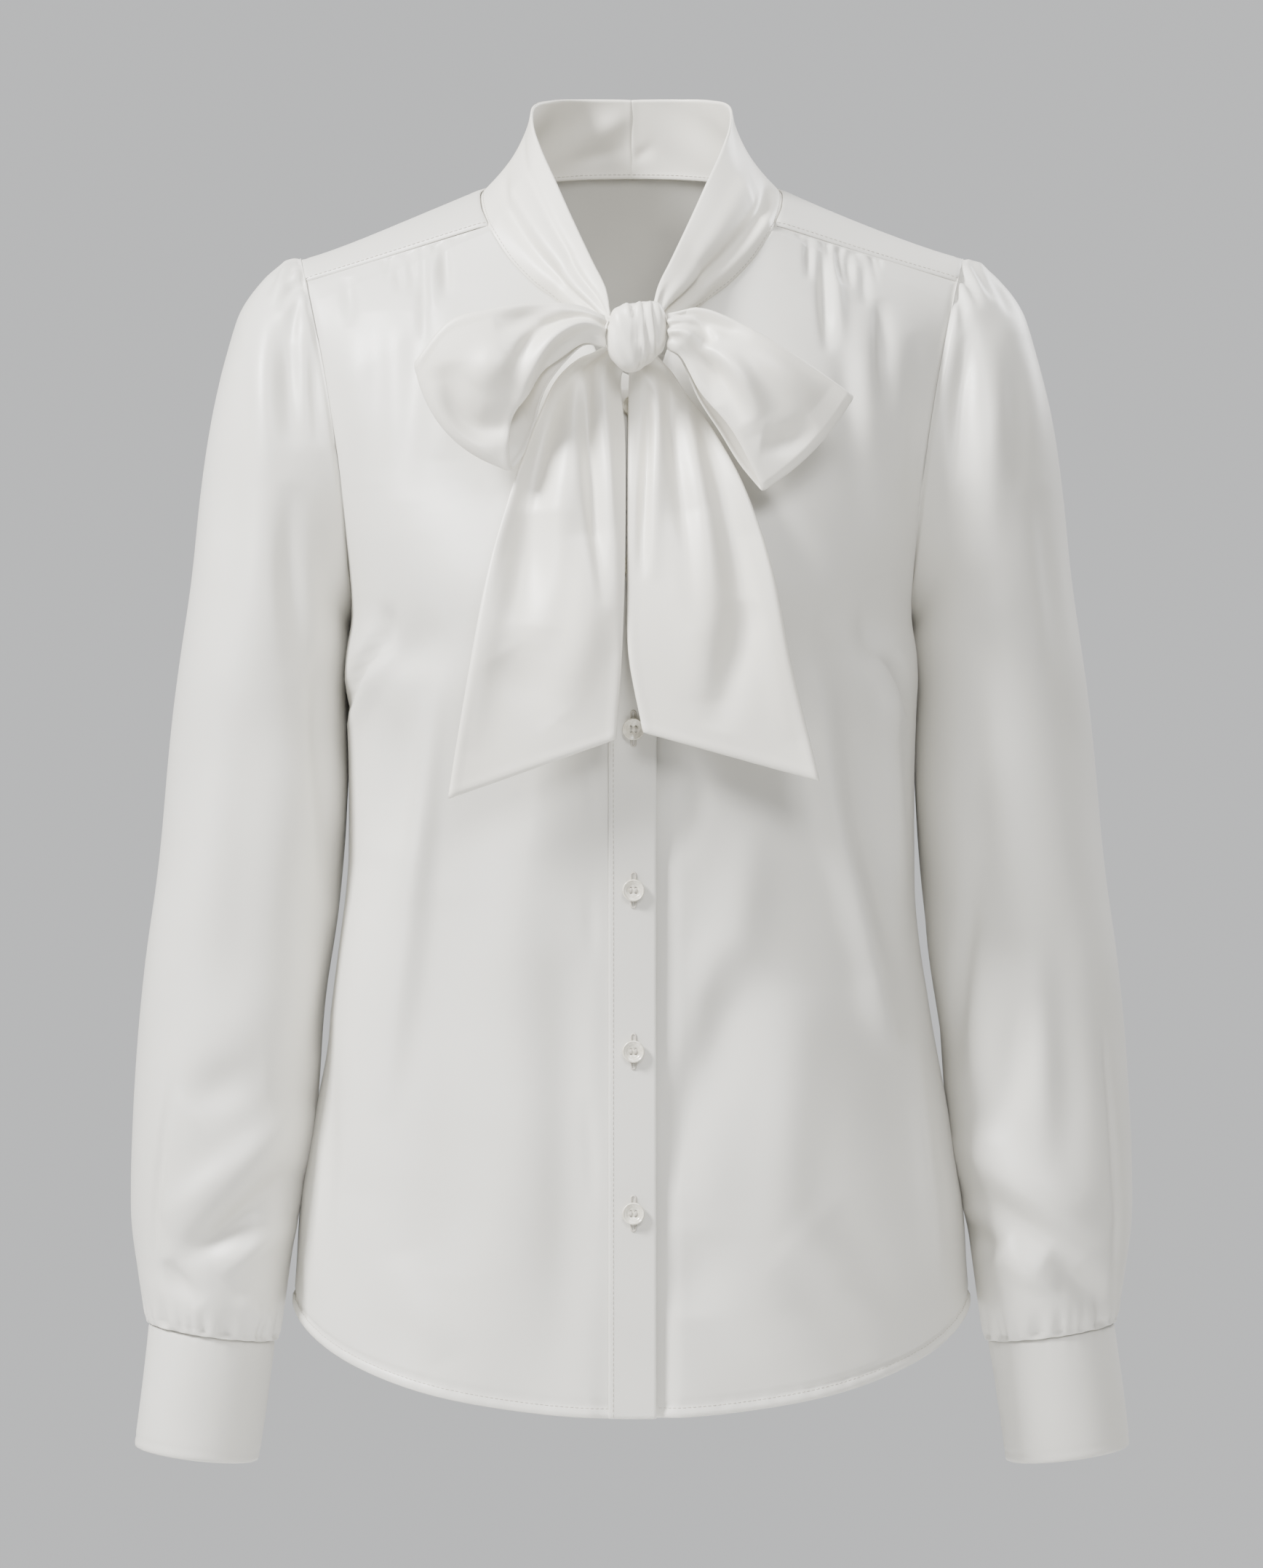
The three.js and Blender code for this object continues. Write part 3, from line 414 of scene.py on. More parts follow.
LEFT_LOOP_CREASES = table(CREASE, [
    [18, -88, 24, -88.5, 29, -90, 33, -92, 5, 2.4, 0],
    [29, -82, 36, -85, 39, -91, 35, -98, 2.8, -2.4, 0],
    [20, -77, 31, -80, 43, -84, 60, -91, 4, -2.6, 0],
    [33, -94, 40, -105, 47, -116, 58, -134, 5.5, -4, 0.2],
    [26, -90, 40, -98, 56, -112, 68, -130, 5, 2.4, 0],
    [36, -92, 50, -106, 58, -121, 64, -140, 7, 2, 0],
    [48, -90, 66, -101, 80, -112, 94, -124, 10, 2.4, 0],
    [66, -142, 76, -144, 84, -141, 93, -134, 7, -3, 0],
    [24, -95, 33, -104, 39, -113, 44, -125, 4, -2, 0],
])
RIGHT_TAIL_CREASES = table(CREASE, [
    [-24, -96, -23.5, -128, -20, -168, -14, -228, 4.5, -3.4, 0.2],
    [-16, -94, -14.5, -130, -11.5, -176, -8, -250, 5.5, 2.6, 0],
    [-36, -104, -44, -136, -52, -176, -62, -240, 7, -2.4, 0],
    [-28, -104, -31, -140, -36, -184, -46, -250, 8, 2, 0],
    [-24, -190, -20, -215, -24, -245, -38, -285, 12, 2.4, 0],
    [-47, -178, -48, -196, -50, -214, -52, -236, 13, -2.6, 0],
    [-64, -250, -57, -261, -49, -271, -38, -284, 11, -1.6, 0],
    [-66, -200, -72, -230, -78, -262, -84, -300, 9, 1.8, 0],
])
LEFT_TAIL_CREASES = table(CREASE, [
    [8, -104, 7.4, -140, 6, -172, 5, -214, 3, -3.2, 0.2],
    [13, -104, 12.5, -140, 11.5, -170, 10.5, -214, 5, 2.2, 0],
    [17, -94, 21, -128, 26, -172, 33, -240, 5.5, -2.6, 0],
    [24, -100, 30, -136, 37, -178, 47, -245, 7, 1.8, 0],
    [30, -110, 38, -142, 48, -182, 61, -245, 6, -1.8, 0],
    [30, -178, 34, -205, 37, -235, 40, -275, 12, 2.4, 0],
    [57, -224, 53, -246, 49, -264, 43, -290, 9, -2.4, 0],
    [62, -190, 68, -220, 75, -255, 82, -295, 9, 1.8, 0],
])


# Folds wrapped round the knot: a line from its top to its foot, bowed sideways, with a soft
# flank to the left of the wearer and a crisp one to the right
KNOT_FOLDS = table("topX footX bow depth soft crisp", [
    [-3.4, 1.6, 0.8, 2, 3, 0.8],
    [2.8, 6.2, 0.8, 1.8, 2.6, 0.7],
    [8.2, 11, 0.6, 1.5, 2, 0.6],
])


def read(rows, key, column, value):
    """A smooth value of one column of a table, between its rows"""
    keys = rows[key]
    values = rows[column]
    value = np.asarray(value, float)
    last = len(keys) - 1
    turn = 1 if keys[-1] > keys[0] else -1
    i = np.clip(np.searchsorted(turn * keys, turn * value, side="right") - 1, 0, last - 1)
    low = np.maximum(np.arange(last + 1) - 1, 0)
    high = np.minimum(np.arange(last + 1) + 1, last)
    slopes = (values[high] - values[low]) / (keys[high] - keys[low])
    span = keys[i + 1] - keys[i]
    t = np.clip((value - keys[i]) / span, 0, 1)
    start = (1 + 2 * t) * (1 - t) ** 2 * values[i]
    end = t * t * (3 - 2 * t) * values[i + 1]
    leave = t * (1 - t) ** 2 * span * slopes[i]
    arrive = t * t * (t - 1) * span * slopes[i + 1]
    return start + end + leave + arrive


def mix(a, b, t):
    return a + (b - a) * t


def smooth(low, high, value):
    t = np.clip((value - low) / (high - low), 0, 1)
    return t * t * (3 - 2 * t)


def close_ends(count, pull):
    """Places from 0 to 1 that lie closer together at both ends"""
    even = np.linspace(0, 1, count)
    return even - pull * np.sin(2 * math.pi * even) / (2 * math.pi)


def hump(distance, width):
    return np.exp(-((distance / width) ** 2))


def stack(x, y, z):
    """Three arrays as one array of points"""
    return np.stack(np.broadcast_arrays(x, y, z), axis=-1).astype(float)


def crease_line(crease, axis, steps):
    """Places along one axis of the smooth line through a crease's four points"""
    places = np.array([crease[f"{axis}{n}"] for n in (1, 2, 3, 4)])
    return read({"share": np.linspace(0, 1, 4), axis: places}, "share", axis, steps)


def crease_height(creases, x, z, strength=1.0):
    """Height of a table's creases at places seen from the front or back"""
    height = np.zeros(x.shape)
    steps = np.linspace(0, 1, 25)
    for k in range(len(creases["depth"])):
        crease = {name: column[k] for name, column in creases.items()}
        line_x, line_z = crease_line(crease, "x", steps), crease_line(crease, "z", steps)
        reach = 3.2 * crease["width"]
        near = (x > line_x.min() - reach) & (x < line_x.max() + reach)
        near &= (z > line_z.min() - reach) & (z < line_z.max() + reach)
        if not near.any():
            continue
        step_x, step_z = np.diff(line_x), np.diff(line_z)
        off_x = x[near][:, None] - line_x[:-1]
        off_z = z[near][:, None] - line_z[:-1]
        share = np.clip((off_x * step_x + off_z * step_z) / (step_x ** 2 + step_z ** 2), 0, 1)
        gap_x = off_x - share * step_x
        gap_z = off_z - share * step_z
        distance = np.hypot(gap_x, gap_z)
        best = distance.argmin(1)
        pick = (np.arange(len(best)), best)
        flank = np.sign(step_x[best] * gap_z[pick] - step_z[best] * gap_x[pick])
        along = (best + share[pick]) / len(step_x)
        fade = np.sin(np.pi * np.clip(along, 0, 1)) ** 0.9
        width = crease["width"] * (1 + crease["lean"] * flank)
        height[near] += strength * crease["depth"] * fade * hump(distance[pick], width)
    return height


def uneven(k, amount, turn):
    """The same uneven number each run for the k-th of many like things"""
    return amount * math.sin(turn * k + 1.3 * turn)


def gather_height(across, along, first, last, count, length, depth):
    """Short uneven tucks running in from a gathered seam; along is the distance from it"""
    height = np.zeros(across.shape)
    pitch = (last - first) / count
    for k in range(count):
        centre = first + pitch * (k + 0.5 + uneven(k, 0.28, 2.4))
        centre = centre + uneven(k, 0.05, 1.7) * along
        reach = length * (0.75 + uneven(k, 0.45, 3.1))
        width = pitch * (0.34 + uneven(k, 0.08, 1.1))
        fade = smooth(0, 2, along) * np.clip(1 - along / reach, 0, 1) ** 1.2
        height -= depth * (1 + uneven(k, 0.35, 4.7)) * fade * hump(across - centre, width)
    return height


def grid_normals(points, closed=False):
    along = np.gradient(points, axis=0)
    if closed:
        across = (np.roll(points, -1, axis=1) - np.roll(points, 1, axis=1)) / 2
    else:
        across = np.gradient(points, axis=1)
    normals = np.cross(along, across)
    return normals / np.maximum(np.linalg.norm(normals, axis=-1, keepdims=True), 1e-9)


def outward(points, centre, closed=False):
    """Normals of a grid that face away from a point inside the piece"""
    normals = grid_normals(points, closed)
    facing = (normals * (points - np.array(centre, float))).sum()
    return normals * (1 if facing > 0 else -1)


def raised(points, height, centre, closed=False):
    return points + outward(points, centre, closed) * height[..., None]


def edge_distance(points, edge):
    """Distance of each point of a grid from one of its edges, measured along the cloth"""
    axis = 0 if edge in ("top", "foot") else 1
    from_end = edge in ("foot", "last")
    steps = np.linalg.norm(np.diff(points, axis=axis), axis=-1)
    if from_end:
        steps = np.flip(steps, axis)
    start = np.zeros_like(np.take(steps, [0], axis))
    distance = np.concatenate([start, np.cumsum(steps, axis=axis)], axis=axis)
    return np.flip(distance, axis) if from_end else distance


def seam_roll(points, edges, rise=0.7, width=2.6):
    """The cloth stays at its seams and rises in a soft roll beside them"""
    nearest = np.min([edge_distance(points, edge) for edge in edges], axis=0)
    return rise * (1 - np.exp(-(nearest / width) ** 2))


# Meshes

def srgb(code):
    """A colour written as sRGB hex, turned to linear for a shader"""
    channels = [int(code[k:k + 2], 16) / 255 for k in (1, 3, 5)]
    linear = [c / 12.92 if c <= 0.04045 else ((c + 0.055) / 1.055) ** 2.4 for c in channels]
    return (*linear, 1.0)


def new_object(name, points, faces, material):
    """A smooth mesh object from points in millimetres"""
    mesh = bpy.data.meshes.new(name)
    mesh.from_pydata((np.asarray(points) * MM).tolist(), [], faces)
    mesh.polygons.foreach_set("use_smooth", [True] * len(mesh.polygons))
    mesh.materials.append(material)
    mesh.update()
    piece = bpy.data.objects.new(name, mesh)
    bpy.context.scene.collection.objects.link(piece)
    return piece


def edge_loop(rows, columns):
    """Indices round a grid's edge, in order"""
    top = [(0, j) for j in range(columns)]
    last = [(i, columns - 1) for i in range(1, rows)]
    foot = [(rows - 1, j) for j in range(columns - 2, -1, -1)]
    first = [(i, 0) for i in range(rows - 2, 0, -1)]
    return np.array([i * columns + j for i, j in top + last + foot + first])


def wall(name, outer, thickness, centre, material, closed=False):
    """Cloth of a real thickness with rounded edges, behind a grid of outer points"""
    rows, columns = outer.shape[:2]
    normals = outward(outer, centre, closed)
    inner = outer - normals * thickness
    flipped = (normals * grid_normals(outer, closed)).sum() < 0
    index = np.arange(rows * columns).reshape(rows, columns)
    if closed:
        index = np.concatenate([index, index[:, :1]], axis=1)
    corners = [index[:-1, :-1], index[1:, :-1], index[1:, 1:], index[:-1, 1:]]
    quads = np.stack(corners, axis=-1).reshape(-1, 4)
    if flipped:
        quads = quads[:, ::-1]
    count = rows * columns
    faces = [quads, quads[:, ::-1] + count]
    points = [outer.reshape(-1, 3), inner.reshape(-1, 3)]
    loops = [index[0, :-1], index[-1, :-1][::-1]] if closed else [edge_loop(rows, columns)]
    total = 2 * count
    flat_outer, flat_inner = points
    for loop in loops:
        middle = (flat_outer[loop] + flat_inner[loop]) / 2
        ahead = np.roll(flat_outer[loop], -1, axis=0) - np.roll(flat_outer[loop], 1, axis=0)
        through = flat_outer[loop] - flat_inner[loop]
        out = np.cross(ahead, through)
        out /= np.maximum(np.linalg.norm(out, axis=1, keepdims=True), 1e-9)
        if not flipped:
            out = -out
        rim = middle + out * thickness * 0.4
        points.append(rim)
        ring = total + np.arange(len(loop))
        total += len(loop)
        following = np.roll(loop, -1)
        ring_following = np.roll(ring, -1)
        front = np.stack([loop, following, ring_following, ring], axis=1)
        back = np.stack([ring, ring_following, following + count, loop + count], axis=1)
        side = np.concatenate([front, back])
        faces.append(side[:, ::-1] if flipped else side)
    return new_object(name, np.concatenate(points), np.concatenate(faces).tolist(), material)


def wear(piece, node):
    """The piece rides on the frame and stands for its plain solid"""
    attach(piece, "root")
    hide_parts(node)


def sew(node, points, thickness, centre, doubled=False, closed=False):
    """A piece of satin on its grid, which stands for the frame's wall of the same name"""
    piece = wall(f"{node}_satin", points, thickness, centre, satin_finish(doubled), closed)
    wear(piece, node)
    return piece


# Stitches: little capsules of thread, half sunk in the cloth

def resampled(line, pitch):
    """Places an even pitch apart along a line of points, with the direction at each"""
    lengths = np.concatenate([[0], np.cumsum(np.linalg.norm(np.diff(line, axis=0), axis=1))])
    count = max(int(lengths[-1] / pitch), 1)
    at = (np.arange(count) + 0.5) * lengths[-1] / count
    places = np.stack([np.interp(at, lengths, line[:, k]) for k in range(3)], axis=1)
    before = np.stack([np.interp(at - 0.5, lengths, line[:, k]) for k in range(3)], axis=1)
    after = np.stack([np.interp(at + 0.5, lengths, line[:, k]) for k in range(3)], axis=1)
    ahead = after - before
    return places, ahead / np.maximum(np.linalg.norm(ahead, axis=1, keepdims=True), 1e-9)


def stitch_shapes(lines, length, radius, pitch):
    """Points and faces of all stitches along several lines"""
    sides = 5
    ends = [(-0.5, 0.35), (-0.3, 1.0), (0.3, 1.0), (0.5, 0.35)]
    points = []
    faces = []
    total = 0
    for line in lines:
        places, ahead = resampled(np.asarray(line, float), pitch)
        side = np.cross(ahead, [0.31, 0.83, 0.46])
        side /= np.linalg.norm(side, axis=1, keepdims=True)
        other = np.cross(ahead, side)
        for place, along, across, up in zip(places, ahead, side, other):
            for reach, share in ends:
                for k in range(sides):
                    turn = 2 * math.pi * k / sides
                    rim = math.cos(turn) * across + math.sin(turn) * up
                    points.append(place + along * reach * length + rim * radius * share)
            for ring in range(len(ends) - 1):
                low = total + ring * sides
                for k in range(sides):
                    nxt = (k + 1) % sides
                    faces.append([low + k, low + nxt, low + sides + nxt, low + sides + k])
            faces.append([total + k for k in range(sides)][::-1])
            faces.append([total + (len(ends) - 1) * sides + k for k in range(sides)])
            total += len(ends) * sides
    return np.array(points), faces


def stitched(name, lines):
    """A row or rows of topstitching as one piece"""
    sizes = bpy.context.scene.blouse_cloth
    length = sizes.stitch_length / MM
    radius = sizes.thread_thickness / MM / 2
    points, faces = stitch_shapes(lines, length, radius, length * 1.45)
    piece = new_object(name, points, faces, thread_finish())
    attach(piece, "root")
    return piece


# Finishes

def add_node(tree, kind, settings=None, links=None):
    """Adds a node, sets its values by name and links its inputs from other nodes' outputs"""
    node = tree.nodes.new(kind)
    for name, value in (settings or {}).items():
        if name in node.inputs:
            node.inputs[name].default_value = value
        else:
            setattr(node, name, value)
    for name, (source, output) in (links or {}).items():
        tree.links.new(source.outputs[output], node.inputs[name])
    return node


def new_finish(name):
    material = bpy.data.materials.new(name)
    material.use_nodes = True
    material.node_tree.nodes.clear()
    return material, material.node_tree


def satin_finish(doubled=False):
    """Polyester satin, woven with long floats and pressed: an ivory white with a soft, wide sheen.
    Two layers look whiter and warmer than one, which lets some light through."""
    name = "polyester_satin_doubled" if doubled else "polyester_satin_single"
    found = bpy.data.materials.get(name)
    if found:
        return found
    colours = bpy.context.scene.blouse_finish
    material, tree = new_finish(name)
    place = add_node(tree, "ShaderNodeTexCoord")
    # Floats are 0.15 mm wide, too fine to show, so the grain is drawn 0.7 mm wide and 3 mm long
    grain_place = add_node(tree, "ShaderNodeMapping", {"Scale": (1400, 1400, 330)},
                           {"Vector": (place, "Object")})
    grain = add_node(tree, "ShaderNodeTexNoise", {"Scale": 1.0, "Detail": 3.0, "Roughness": 0.6},
                     {"Vector": (grain_place, "Vector")})
    # Slack and pressed areas of the cloth, a hand's width across
    cloud = add_node(tree, "ShaderNodeTexNoise", {"Scale": 9.0, "Detail": 2.0, "Roughness": 0.5},
                     {"Vector": (place, "Object")})
    # Small crumples 15 mm across, which break up the sheen
    crumple = add_node(tree, "ShaderNodeTexNoise", {"Scale": 65.0, "Detail": 2.5, "Roughness": 0.45},
                       {"Vector": (place, "Object")})
    tone = add_node(tree, "ShaderNodeValToRGB", links={"Fac": (cloud, "Fac")})
    tone.color_ramp.elements[0].position = 0.3
    tone.color_ramp.elements[0].color = srgb(colours.doubled_shade if doubled else colours.satin_shade)
    tone.color_ramp.elements[1].position = 0.7
    tone.color_ramp.elements[1].color = srgb(colours.doubled if doubled else colours.satin)
    gloss = add_node(tree, "ShaderNodeMapRange",
                     {"From Min": 0.3, "From Max": 0.7, "To Min": 0.42, "To Max": 0.5},
                     {"Value": (grain, "Fac")})
    soft = add_node(tree, "ShaderNodeBump", {"Strength": 0.25, "Distance": 0.0006},
                    {"Height": (crumple, "Fac")})
    woven = add_node(tree, "ShaderNodeBump", {"Strength": 0.16, "Distance": 0.00012},
                     {"Height": (grain, "Fac"), "Normal": (soft, "Normal")})
    shader = add_node(tree, "ShaderNodeBsdfPrincipled", {
        "IOR": 1.5,
        "Sheen Weight": 0.1,
        "Sheen Roughness": 0.35,
        "Specular IOR Level": 0.9,
    }, {"Base Color": (tone, "Color"), "Roughness": (gloss, "Result"), "Normal": (woven, "Normal")})
    add_node(tree, "ShaderNodeOutputMaterial", links={"Surface": (shader, "BSDF")})
    return material


def thread_finish():
    """Spun polyester thread, twisted, matt and duller than the satin. Its colour is painted darker than
    the satin as painted shade of the stitch holes, and darker still between its plies as painted shade
    """
    found = bpy.data.materials.get("spun_polyester_thread_with_painted_shade")
    if found:
        return found
    colours = bpy.context.scene.blouse_finish
    material, tree = new_finish("spun_polyester_thread_with_painted_shade")
    place = add_node(tree, "ShaderNodeTexCoord")
    # Twist of the two plies, one turn in 0.6 mm; its low parts also carry the painted shade between the
    # plies
    ply_twist_and_painted_shade = add_node(tree, "ShaderNodeTexNoise", {"Scale": 1700.0, "Detail": 1.0},
                     {"Vector": (place, "Object")})
    # Painted shade: the thread is painted darker than the satin for the shade of its stitch holes, and
    # darker still between its plies
    tone = add_node(tree, "ShaderNodeValToRGB", links={"Fac": (ply_twist_and_painted_shade, "Fac")})
    tone.color_ramp.elements[0].color = srgb(colours.thread_painted_shade)
    tone.color_ramp.elements[1].color = srgb(colours.thread)
    relief = add_node(tree, "ShaderNodeBump", {"Strength": 0.4, "Distance": 0.0001},
                      {"Height": (ply_twist_and_painted_shade, "Fac")})
    shader = add_node(tree, "ShaderNodeBsdfPrincipled", {"IOR": 1.5, "Roughness": 0.7},
                      {"Base Color": (tone, "Color"), "Normal": (relief, "Normal")})
    add_node(tree, "ShaderNodeOutputMaterial", links={"Surface": (shader, "BSDF")})
    return material


def pearl_finish():
    """Cast polyester resin with pearl pigment, tumbled smooth: clouded, slightly deep and glossy"""
    found = bpy.data.materials.get("cast_pearl_resin")
    if found:
        return found
    colours = bpy.context.scene.blouse_finish
    material, tree = new_finish("cast_pearl_resin")
    place = add_node(tree, "ShaderNodeTexCoord")
    # Pearl pigment lies in swirls about 3 mm wide
    swirl = add_node(tree, "ShaderNodeTexNoise", {"Scale": 330.0, "Detail": 2.0, "Distortion": 1.2},
                     {"Vector": (place, "Object")})
    tone = add_node(tree, "ShaderNodeValToRGB", links={"Fac": (swirl, "Fac")})
    tone.color_ramp.elements[0].position = 0.3
    tone.color_ramp.elements[0].color = srgb(colours.button_shade)
    tone.color_ramp.elements[1].position = 0.75
    tone.color_ramp.elements[1].color = srgb(colours.button)
    gloss = add_node(tree, "ShaderNodeMapRange", {"To Min": 0.16, "To Max": 0.26},
                     {"Value": (swirl, "Fac")})
    shader = add_node(tree, "ShaderNodeBsdfPrincipled",
                      {"IOR": 1.56, "Coat Weight": 0.5, "Coat Roughness": 0.08},
                      {"Base Color": (tone, "Color"), "Roughness": (gloss, "Result")})
    add_node(tree, "ShaderNodeOutputMaterial", links={"Surface": (shader, "BSDF")})
    return material


# The body

def armhole(angle):
    """Armhole seam of the left side: 0 at the shoulder point, 90 at the front, -90 at the back"""
    turn = np.radians(angle)
    x = ARMHOLE_X + ARMHOLE_LEAN * np.cos(turn) - ARMHOLE_SCOOP * np.sin(turn) ** 2
    y = -ARMHOLE_HALF_DEPTH * np.sin(turn)
    return stack(x, y, ARMHOLE_Z + ARMHOLE_HALF_HEIGHT * np.cos(turn))


def section_half(z, depth, square):
    """Half width of a body section, which passes through the armhole where there is one"""
    top = ARMHOLE_Z + ARMHOLE_HALF_HEIGHT * math.cos(math.radians(YOKE_FRONT_ANGLE))
    plain = read(BODY, "z", "half", z)
    turn = np.clip((z - ARMHOLE_Z) / ARMHOLE_HALF_HEIGHT, -1, 1)
    seam = armhole(np.degrees(np.arccos(turn)))
    share = np.maximum(1 - (np.abs(seam[..., 1]) / depth) ** square, 0.01)
    through = seam[..., 0] / share ** (1 / square)
    on_arm = (z < top) & (z > ARMHOLE_Z - ARMHOLE_HALF_HEIGHT)
    return np.where(on_arm, through, plain)


def body_depth(x, z, direction):
    depth = read(BODY, "z", direction, z)
    square = read(BODY, "z", "square", z)
    share = np.minimum(np.abs(x) / section_half(z, depth, square), 1)
    return depth * (1 - share ** square) ** (1 / square)


def front_y(x, z):
    bust = hump(np.abs(x) - BUST_X, BUST_HALF_WIDTH) * hump(z - BUST_Z, BUST_HALF_HEIGHT)
    return -body_depth(x, z, "front") - BUST_FULLNESS * bust


def outer_edge(v, arm_rows, first_angle, last_angle):
    """Outer edge of a front or the back, down its armhole and then its side seam, as x, y and z"""
    seam = armhole(mix(first_angle, last_angle, np.clip(v / arm_rows, 0, 1)))
    low = np.clip((v - arm_rows) / SIDE_ROWS, 0, 1)
    side_z = mix(ARMHOLE_Z - ARMHOLE_HALF_HEIGHT, SIDE_HEM_Z, low)
    on_arm = v <= arm_rows
    x = np.where(on_arm, seam[..., 0], read(BODY, "z", "half", side_z))
    return x, np.where(on_arm, seam[..., 1], 0), np.where(on_arm, seam[..., 2], side_z)


def hem_curve(across):
    """Share of the shirt-tail hem's drop: all of it in the middle, at 0, none at the side seam, at 1"""
    return np.maximum(1 - across ** 2, 0) ** 0.6


def front_grid(side, lap, rows, columns):
    """One front from its lap and neck edge to its armhole and side seam"""
    total_rows = ARM_ROWS + SIDE_ROWS
    v = total_rows * close_ends(rows, 0.5)[:, None]
    s = np.linspace(0, FRONT_COLUMNS, columns)[None, :]
    down = np.clip(v / ARM_ROWS, 0, 1)
    low = np.clip((v - ARM_ROWS) / SIDE_ROWS, 0, 1)
    outer_x, outer_y, outer_z = outer_edge(v, ARM_ROWS, YOKE_FRONT_ANGLE, 180)
    past_neck = np.clip(v - (ARM_ROWS - 1), 0, 1)
    inner_x = mix(read(FRONT_NECK, "at", "x", np.minimum(down, 1 - 1 / ARM_ROWS)), -lap, past_neck)
    inner_z = np.where(v <= ARM_ROWS, read(FRONT_NECK, "at", "z", down),
                       mix(LAP_TOP_Z, SIDE_HEM_Z - FRONT_HEM_DROP, low))
    band = mix((outer_x - inner_x) * BAND_SHARE, PLACKET_WIDTH, past_neck)
    share = (s - BAND_COLUMNS) / (FRONT_COLUMNS - BAND_COLUMNS)
    past = mix(inner_x + band, outer_x, np.sin(np.maximum(share, 0) * math.pi / 2))
    x = np.where(s <= BAND_COLUMNS, inner_x + band * s / BAND_COLUMNS, past)
    across = (x - inner_x) / (outer_x - inner_x)
    band_reach = band / (outer_x - inner_x)
    past_band = np.maximum((across - band_reach) / (1 - band_reach), 0)
    level = mix(across, past_band, smooth(ARM_ROWS / 2, ARM_ROWS, v))
    sag = mix(1 - level, hem_curve(np.maximum(x / outer_x, 0)), smooth(0.5, 1, v / total_rows))
    z = mix(outer_z, inner_z, sag)
    seam_y = mix(front_y(inner_x, inner_z), outer_y, across)
    body_y = front_y(x, z)
    y = mix(seam_y, body_y, smooth(0, 4, v))
    y = mix(mix(YOKE_END_Y, outer_y, across), y, np.clip(v, 0, 1))
    y[:, -1] = outer_y[:, 0]
    return stack(side * x, y, z)


def tuck_under(points):
    """The left front lies under the right one at the lap"""
    x, z = points[..., 0], points[..., 2]
    points[..., 1] += TUCK_DEPTH * (1 - smooth(15, 27, x)) * (1 - smooth(-100, -70, z))
    return points


def hem_height(points, free=1.0):
    """The narrow turned hem: a little proud, with a groove and small puckers at its stitches"""
    sizes = bpy.context.scene.blouse_cloth
    turned = sizes.hem_width / MM
    distance = edge_distance(points, "foot")
    run = edge_distance(points, "first")
    proud = 0.9 * (1 - smooth(turned - 0.2, turned + 1.2, distance))
    groove = -1.7 * hump(distance - turned, 1.2)
    pucker = 0.3 * np.sin(run / 1.9) * np.sin(run / 7.3) * hump(distance - turned * 0.8, 3.5)
    wave = 0.9 * np.sin(run / 19 + 0.7) * hump(distance, 16)
    return proud + groove + pucker + wave * free


def front_relief(points, side, creases, dart):
    """Creases, dart, seams and hem of a front"""
    sizes = bpy.context.scene.blouse_cloth
    x = np.abs(points[..., 0])
    z = points[..., 2]
    seam = edge_distance(points, "last")
    top = edge_distance(points, "top")
    # The cloth lies flat under the placket
    free = np.maximum(smooth(12, 24, side * points[..., 0]), smooth(0, 25, z - LAP_TOP_Z))
    height = crease_height(creases, x, z, sizes.fold_strength) * smooth(0, 7, seam) * smooth(0, 2, top)
    height += gather_height(x, top, *FRONT_GATHERS, sizes.gather_depth / MM) * smooth(0, 6, seam)
    height += crease_height(dart, x, z)
    height += seam_roll(points, ["top", "last"])
    # Slack waves of the cloth, a hand's width across
    drape = 1.1 * np.sin(x / 17 + z / 61) * np.sin(z / 47 + x / 39)
    height += drape * smooth(0, 30, seam) * smooth(0, 40, top)
    return height * free + hem_height(points, free)


def back_seam(share):
    """Seam between the yoke and the back, from one armhole to the other"""
    end = armhole(YOKE_BACK_ANGLE)
    across = np.sin(share * math.pi / 2)
    x = end[0] * across
    z = mix(BACK_SEAM_Z, end[2], across ** 2)
    y = np.where(np.abs(share) >= 1, end[1], body_depth(x, z, "back"))
    return stack(x, y, z)


def back_grid(rows, columns):
    total_rows = BACK_ARM_ROWS + SIDE_ROWS
    v = total_rows * close_ends(rows, 0.5)[:, None]
    share = np.linspace(-1, 1, columns)[None, :]
    outer_x, outer_y, outer_z = outer_edge(v, BACK_ARM_ROWS, YOKE_BACK_ANGLE, -180)
    middle_z = mix(BACK_SEAM_Z, SIDE_HEM_Z - BACK_HEM_DROP, v / total_rows)
    across = np.sin(share * math.pi / 2)
    x = outer_x * across
    sag = mix(1 - across ** 2, hem_curve(across), smooth(0.5, 1, v / total_rows))
    z = mix(outer_z, middle_z, sag)
    y = body_depth(x, z, "back")
    y[:, 0] = outer_y[:, 0]
    y[:, -1] = outer_y[:, 0]
    points = stack(x, y, z)
    points[0] = back_seam(share[0])
    return points


def neck_back(share, side):
    x, y, z = (read(BACK_NECK, "at", column, share) for column in ("x", "y", "z"))
    return stack(side * x, y, z)


